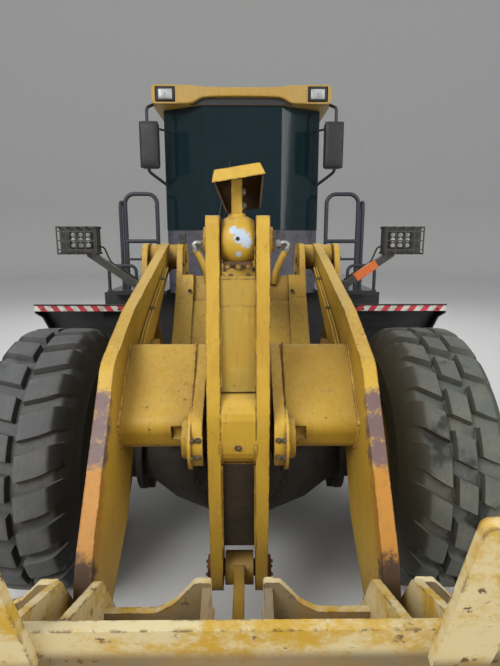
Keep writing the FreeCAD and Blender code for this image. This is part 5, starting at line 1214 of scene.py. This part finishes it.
def fit_platforms():
    """Tread studs: low pyramids on a grid whose long way alternates; welded rail feet; step ribs."""
    x, y = np.meshgrid(np.arange(0.76, 1.285, 0.035), np.arange(0.60, 1.65, 0.035), indexing="ij")
    i, j = np.indices(x.shape)
    clear = np.ones(x.shape, bool)
    for cx, cy, _ in RAIL_FEET:
        clear &= np.hypot(x - cx, y - cy) > 0.045
    long_x = np.where((i + j) % 2 == 0, 0.013, 0.004)[clear]
    long_y = np.where((i + j) % 2 == 0, 0.004, 0.013)[clear]
    centre = np.stack([x[clear], y[clear], np.full(clear.sum(), 1.6598)], -1)
    ways = ((-1, 0), (0, -1), (1, 0), (0, 1))
    corner = [centre + np.stack([a * long_x, b * long_y, 0 * long_x], -1) for a, b in ways]
    points = np.stack([*corner, centre + (0, 0, 0.0032)], 1).reshape(-1, 3)
    pyramid = ((0, 1, 4), (1, 2, 4), (2, 3, 4), (3, 0, 4), (3, 2, 1, 0))
    faces = [tuple(5 * k + np.array(face)) for k in range(len(centre)) for face in pyramid]
    piece("platform_studs", both_sides((points, faces)), "black_sheet", "rear_frame")
    fillets = [turned((fx, fy, 1.6602), UP, [(-0.0005, 0), (-0.0005, r + 0.010), (0.003, r + 0.008),
                                             (0.010, r + 0.001), (0.010, 0)], 24) for fx, fy, r in RAIL_FEET]
    piece("rail_feet", both_sides(merged(*fillets)), "rail_navy", "rear_frame", smooth=True)
    ribs = [(1.24, y, z) for z in (0.5105, 0.8905, 1.2705) for y in np.linspace(0.83, 1.28, 10)]
    piece("step_ribs", both_sides(soft_boxes(ribs, (0.15, 0.004, 0.003), 0.002)), "black_sheet", "rear_frame")


# Rear body

def fit_hood_details():
    """Louvre blades in the hood's slots, latches, hinges, and bolts round the grille."""
    blades = []
    for i in range(7):
        y = 2.30 + i * 0.19
        for z in np.linspace(1.68, 2.02, 8):
            outline = [(x, y + 0.001, z + rise) for x, rise in (
                (0.575, 0), (0.5985, -0.030), (0.5985, -0.027), (0.575, 0.003))]
            blades.append(slab(outline, REAR, 0.088))
    piece("hood_louvres", both_sides(merged(*blades)), "black_sheet", "rear_frame")
    latches = soft_boxes([(0.606, y, 1.36) for y in (2.45, 3.05, 3.60)], (0.008, 0.038, 0.022), 0.005)
    hinges = turned([(0.605, y, 2.15) for y in (2.38, 3.50)], REAR, capped((-0.05, 0.012), (0.05, 0.012)), 14)
    piece("hood_latches", both_sides(merged(latches, hinges)), "black_plastic", "rear_frame")
    spots = [(x, 3.7998, z) for x in np.linspace(-0.47, 0.47, 9) for z in (1.35, 2.0)]
    spots += [(x, 3.7998, z) for x in (-0.47, 0.47) for z in np.linspace(1.45, 1.9, 4)]
    piece("grille_bolts", bolts(spots, REAR, 0.007), "bolt_steel", "rear_frame")


def fit_tail():
    """Tail lamp lenses, tow pin handle and bolts on the counterweight."""
    for name, x0, x1 in (("red", 0.705, 0.795), ("amber", 0.799, 0.846), ("clear", 0.850, 0.895)):
        lens = bulge(((x0 + x1) / 2, 4.0423, 1.14), ((x1 - x0) / 2, 0.036), REAR, 0.0055, 6.0)
        piece("tail_lens_" + name, both_sides(lens), "lens_" + name, "rear_frame", smooth=True)
    heads = [(x, 4.0498, z) for x in (0.35, 0.62) for z in (0.90, 1.16)]
    piece("weight_bolts", both_sides(bolts(heads, REAR, 0.022)), "bolt_steel", "rear_frame")
    pin = turned((0, 3.97, 1.2455), UP, capped((0, 0.034), (0.01, 0.034), (0.012, 0.020), (0.022, 0.020)), 24)
    handle = tube(smooth_path([(-0.05, 3.97, 1.262), (-0.05, 3.97, 1.31), (0.0, 3.97, 1.335),
                               (0.05, 3.97, 1.31), (0.05, 3.97, 1.262), (0.0, 3.97, 1.256),
                               (-0.05, 3.97, 1.262)], 8), 0.007, 10)
    piece("tow_pin_handle", merged(pin, handle), "rusty_steel", "rear_frame", smooth=True)


EXHAUST_AT = (0.33, 2.45)
INTAKE_AT = (-0.30, 2.41)


def fit_stack():
    """Rain cap on the exhaust, clamps, a heat shield, and a ribbed bowl on the intake."""
    x, y = EXHAUST_AT
    cap = turned((x, y - 0.012, 3.048), (0, 0.42, 0.9), [(0, 0), (0, 0.060), (0.004, 0.062), (0.007, 0.058),
                                                         (0.012, 0.0)], 36)
    hinge = tube([(x - 0.03, y + 0.058, 3.038), (x + 0.03, y + 0.058, 3.038)], 0.008, 10)
    clamps = turned([(x, y, z) for z in (2.47, 2.70)], UP, capped((-0.012, 0.099), (0.012, 0.099)), 40)
    t = np.linspace(-0.75 * pi, -0.25 * pi, 24)
    z = np.linspace(2.49, 2.68, 12)
    inner, outer = (np.stack(np.broadcast_arrays(x + r * np.cos(t)[:, None], y + r * np.sin(t)[:, None], z),
                             -1) for r in (0.108, 0.111))
    wall, faces = sheet(np.concatenate([inner, outer[::-1]]), wrap_rows=True)
    n = len(z)
    m = 2 * len(t)
    low = [(i * n, (i + 1) * n, (m - 2 - i) * n, (m - 1 - i) * n) for i in range(len(t) - 1)]
    top = [tuple(np.add(face, n - 1)[::-1]) for face in low]
    piece("exhaust_cap", merged(cap, hinge, clamps), "exhaust_dark", "rear_frame",
          smooth=True)
    piece("exhaust_shield", (wall, faces + low + top), "bright_steel", "rear_frame",
          smooth=True)
    ix, iy = INTAKE_AT
    turn = 2 * pi * np.arange(28) / 28
    fins = []
    for a in turn:
        d = np.array([np.cos(a), np.sin(a), 0])
        s = np.array([-np.sin(a), np.cos(a), 0])
        root = np.array([ix, iy, 0]) + d * 0.122 - s * 0.0025
        outline = [root + d * out + (0, 0, z) for out, z in ((0, 2.71), (0.009, 2.72),
                                                             (0.009, 2.83), (0, 2.84))]
        fins.append(slab(outline, s, 0.005))
    dome = turned((ix, iy, 2.8598), UP, capped((0, 0.118), (0.015, 0.105), (0.027, 0.07), (0.032, 0.02)), 40)
    piece("intake_bowl", merged(dome, *fins), "black_plastic", "rear_frame", smooth=True)


BARE_PRIMER = srgb(176, 190, 204)
ROD_PATCHES = (((0.012, -2.124, 2.168), 0.030, BARE_PRIMER), ((0.034, -2.112, 2.145), 0.024, BARE_PRIMER),
               ((-0.018, -2.118, 2.195), 0.018, BARE_PRIMER), ((0.002, -2.11, 2.095), 0.012, BARE_PRIMER))
PINK_PRIMER, ORANGE_COAT = srgb(112, 88, 84), srgb(182, 124, 36)
ARM_PATCHES = [((across * 0.575, y, z), radius, tint) for across in (-1, 1) for y, z, radius, tint in (
    (-2.17, 1.49, 0.05, PINK_PRIMER), (-2.23, 1.40, 0.065, PINK_PRIMER), (-2.29, 1.315, 0.065, PINK_PRIMER),
    (-2.36, 1.215, 0.07, ORANGE_COAT), (-2.42, 1.13, 0.075, ORANGE_COAT), (-2.48, 1.045, 0.075, ORANGE_COAT),
    (-2.53, 0.94, 0.07, RUST_DARK), (-2.55, 0.83, 0.08, RUST_DARK))]

YELLOWS = {
    "frame_yellow": dict(grime_and_shade=0.8, chips=0.45, brown_below=1.08, shade=0.55),
    "arm_yellow": dict(grime_and_shade=0.5, chips=0.9, rust=0.75, fade=0.2, seed=1.0, patches=ARM_PATCHES, shade=0.6,
                       soft=0.3),
    "rocker_yellow": dict(grime_and_shade=0.4, chips=0.9, rust=0.8, fade=0.25, seed=2.0, shade=0.6),
    "rod_end": dict(grime_and_shade=0.35, chips=0.75, seed=2.5, patches=ROD_PATCHES),
    "body_yellow": dict(grime_and_shade=0.25, chips=0.2, rust=0.15, fade=0.3, seed=3.0),
    "roof_yellow": dict(base=srgb(172, 140, 74), chips=0.2, rust=0.2, grime_and_shade=0.45, fade=0.2, seed=3.5),
    "orange_paint": dict(base=srgb(206, 96, 38), chips=0.7, rust=0.3, grime_and_shade=0.2, fade=0.1, seed=5.0),
    "rim_olive": dict(base=srgb(152, 136, 66), grime_and_shade=0.8, chips=0.2, fade=0.2, seed=4.0),
    # A darkened copy of the yellow, as painted shade on the rocker's upper web; its chips and grimy streaks
    # are wear.
    "web_olive_painted_shade": dict(base=srgb(164, 138, 58), grime_and_shade=0.6, chips=0.5, rust=0.4, fade=0.25, seed=3.0),
    "pipe_yellow": dict(grime_and_shade=0.5, chips=0.3, seed=6.0),
}

# Two colours, roughness, metallic, scale of the blotches, dust.
PLAIN = {
    "lamp_grey": ((54, 53, 50), (36, 35, 33), 0.55, 0, 12, 0.3),
    "underbody_brown": ((40, 32, 25), (24, 19, 15), 0.7, 0, 12, 0.12),
    "rusty_steel": ((108, 66, 36), (62, 40, 28), 0.75, 0.2, 20, 0.15),
    "polished_steel": ((190, 190, 188), (150, 148, 140), 0.25, 0.9, 8, 0.1),
    "black_sheet": ((16, 18, 22), (26, 27, 30), 0.45, 0, 12, 0.12),
    "cab_grey": ((74, 74, 84), (56, 56, 66), 0.4, 0, 12, 0.2),
    "rail_navy": ((34, 38, 52), (24, 26, 36), 0.4, 0, 12, 0.2),
    "black_plastic": ((24, 24, 26), (34, 34, 35), 0.5, 0, 12, 0.15),
    "exhaust_dark": ((48, 44, 40), (84, 58, 42), 0.65, 0.4, 12, 0.15),
    "rubber_black": ((20, 20, 22), (30, 30, 31), 0.72, 0, 12, 0.2),
    "bolt_steel": ((112, 100, 84), (84, 58, 40), 0.55, 0.5, 30, 0.2),
    "underbody_bolts": ((70, 56, 44), (44, 34, 27), 0.65, 0.3, 30, 0.2),
    "bright_steel": ((176, 176, 172), (132, 128, 118), 0.35, 0.85, 24, 0.15),
    "brass_bolts": ((176, 146, 84), (96, 70, 44), 0.5, 0.3, 40, 0.2),
    "guard_rust": ((96, 66, 34), (58, 40, 26), 0.75, 0, 16, 0.2),
    # Near-black brown used as painted shade on the rocker's lower web.
    "web_painted_shade": ((40, 30, 18), (25, 19, 13), 0.6, 0, 9, 0.1),
    "brass": ((150, 122, 70), (96, 78, 50), 0.45, 0.8, 24, 0.2),
    "tape_red": ((198, 46, 66), (150, 38, 50), 0.4, 0, 18, 0.3),
    "tape_white": ((206, 206, 198), (168, 164, 152), 0.4, 0, 18, 0.3),
    "lamp_glass": ((176, 178, 176), (138, 140, 140), 0.12, 0, 10, 0.12),
    "mirror_glass": ((208, 212, 216), (190, 195, 200), 0.06, 1, 6, 0.05),
    "lens_red": ((170, 26, 24), (120, 20, 20), 0.15, 0, 40, 0.12),
    "lens_amber": ((214, 118, 26), (170, 88, 22), 0.15, 0, 40, 0.12),
    "lens_clear": ((214, 214, 208), (180, 180, 174), 0.12, 0, 40, 0.12),
}

FINISHES = {
    **{name: worn_yellow(name, **look) for name, look in YELLOWS.items()},
    **{name: plain_metal(name, *look) for name, look in PLAIN.items()},
    "bucket": bucket_paint(),
    "tyre_left": tyre_rubber("tyre_black", srgb(27, 30, 34), srgb(88, 90, 91), srgb(112, 110, 105), 0.3),
    "tyre_right": tyre_rubber("tyre_dusty", srgb(66, 66, 58), srgb(88, 92, 88), srgb(118, 116, 98), 0.75),
    "cab_two_tone": cab_paint(),
    "glass": glass_finish(),
    "seat_cloth": seat_fabric(),
}

NODE_FINISHES = {
    "frame_yellow": ["front_frame", "rear_chassis"],
    "lamp_grey": ["work_lamps"],
    "arm_yellow": ["lift_arms", "tilt_link"],
    "rocker_yellow": ["rocker", "tilt_barrel", "lift_barrel_left", "lift_barrel_right",
                      "steer_barrel_left", "steer_barrel_right"],
    "body_yellow": ["hood", "counterweight"],
    "roof_yellow": ["cab_roof"],
    "bucket": ["bucket"],
    "rusty_steel": ["cutting_edge", "bucket_pins", "rocker_pin", "link_pin"],
    "polished_steel": ["lift_rod_left", "lift_rod_right", "steer_rod_left", "steer_rod_right"],
    "underbody_brown": ["front_axle", "rear_axle", "engine_block"],
    "tyre_left": ["tyre_front_left", "tyre_rear_left"],
    "tyre_right": ["tyre_front_right", "tyre_rear_right"],
    "rim_olive": ["rim_front_left", "rim_front_right", "rim_rear_left", "rim_rear_right"],
    "black_sheet": ["front_fenders", "rear_fenders", "platforms", "rear_grille"],
    "cab_two_tone": ["cab_shell"],
    "cab_grey": ["door_left", "door_right"],
    "glass": ["cab_glass", "door_glass_left", "door_glass_right"],
    "rail_navy": ["handrails", "mirrors"],
    "black_plastic": ["lamps", "seat", "steering_console"],
    "exhaust_dark": ["exhaust_and_intake"],
}


def dress_nodes():
    for finish, nodes in NODE_FINISHES.items():
        for slot in (slot for node in nodes for slot in NODES[node].material_slots):
            slot.material = FINISHES[finish]


def lay_floor():
    """A round pale floor that curves up into a far wall: radius and height follow a quarter circle."""
    bend = np.linspace(0, pi / 2, 14)
    radius = np.array([0.0, 10.0, 26.0, *(26 + 4 * np.sin(bend[1:])), 30.0])
    height = np.array([0.0, 0.0, 0.0, *(4 - 4 * np.cos(bend[1:])), 24.0])
    turn = 2 * pi * np.arange(72) / 72
    points = np.stack(np.broadcast_arrays(radius * np.cos(turn)[:, None], radius * np.sin(turn)[:, None],
                                          height), -1)
    mesh = bpy.data.meshes.new("studio_floor")
    flat, faces = sheet(points, wrap_rows=True)
    mesh.from_pydata(flat.tolist(), [], [list(map(int, face))[::-1] for face in faces])
    floor = bpy.data.objects.new("studio_floor", mesh)
    bpy.context.scene.collection.objects.link(floor)
    finish = Finish("studio_floor", roughness=0.85)
    finish.feed(finish.shader, "Base Color", srgb(214, 214, 212))
    mesh.materials.append(finish.material)


set_camera()
set_light()
lay_floor()
dress_nodes()
for fit in (fit_tyres, fit_wheels, fit_axles, fit_tape, fit_work_lamps, fit_roof_lamps, fit_mirrors,
            fit_windows, fit_windscreen, fit_roof_front, fit_wiper, fit_cab_front, fit_roof_trim, fit_seat,
            fit_controls, fit_arm_details, fit_rocker_details, fit_rod_end, fit_cylinder_pipes,
            fit_front_frame, fit_bucket_details, fit_platforms, fit_hood_details, fit_tail, fit_stack):
    fit()
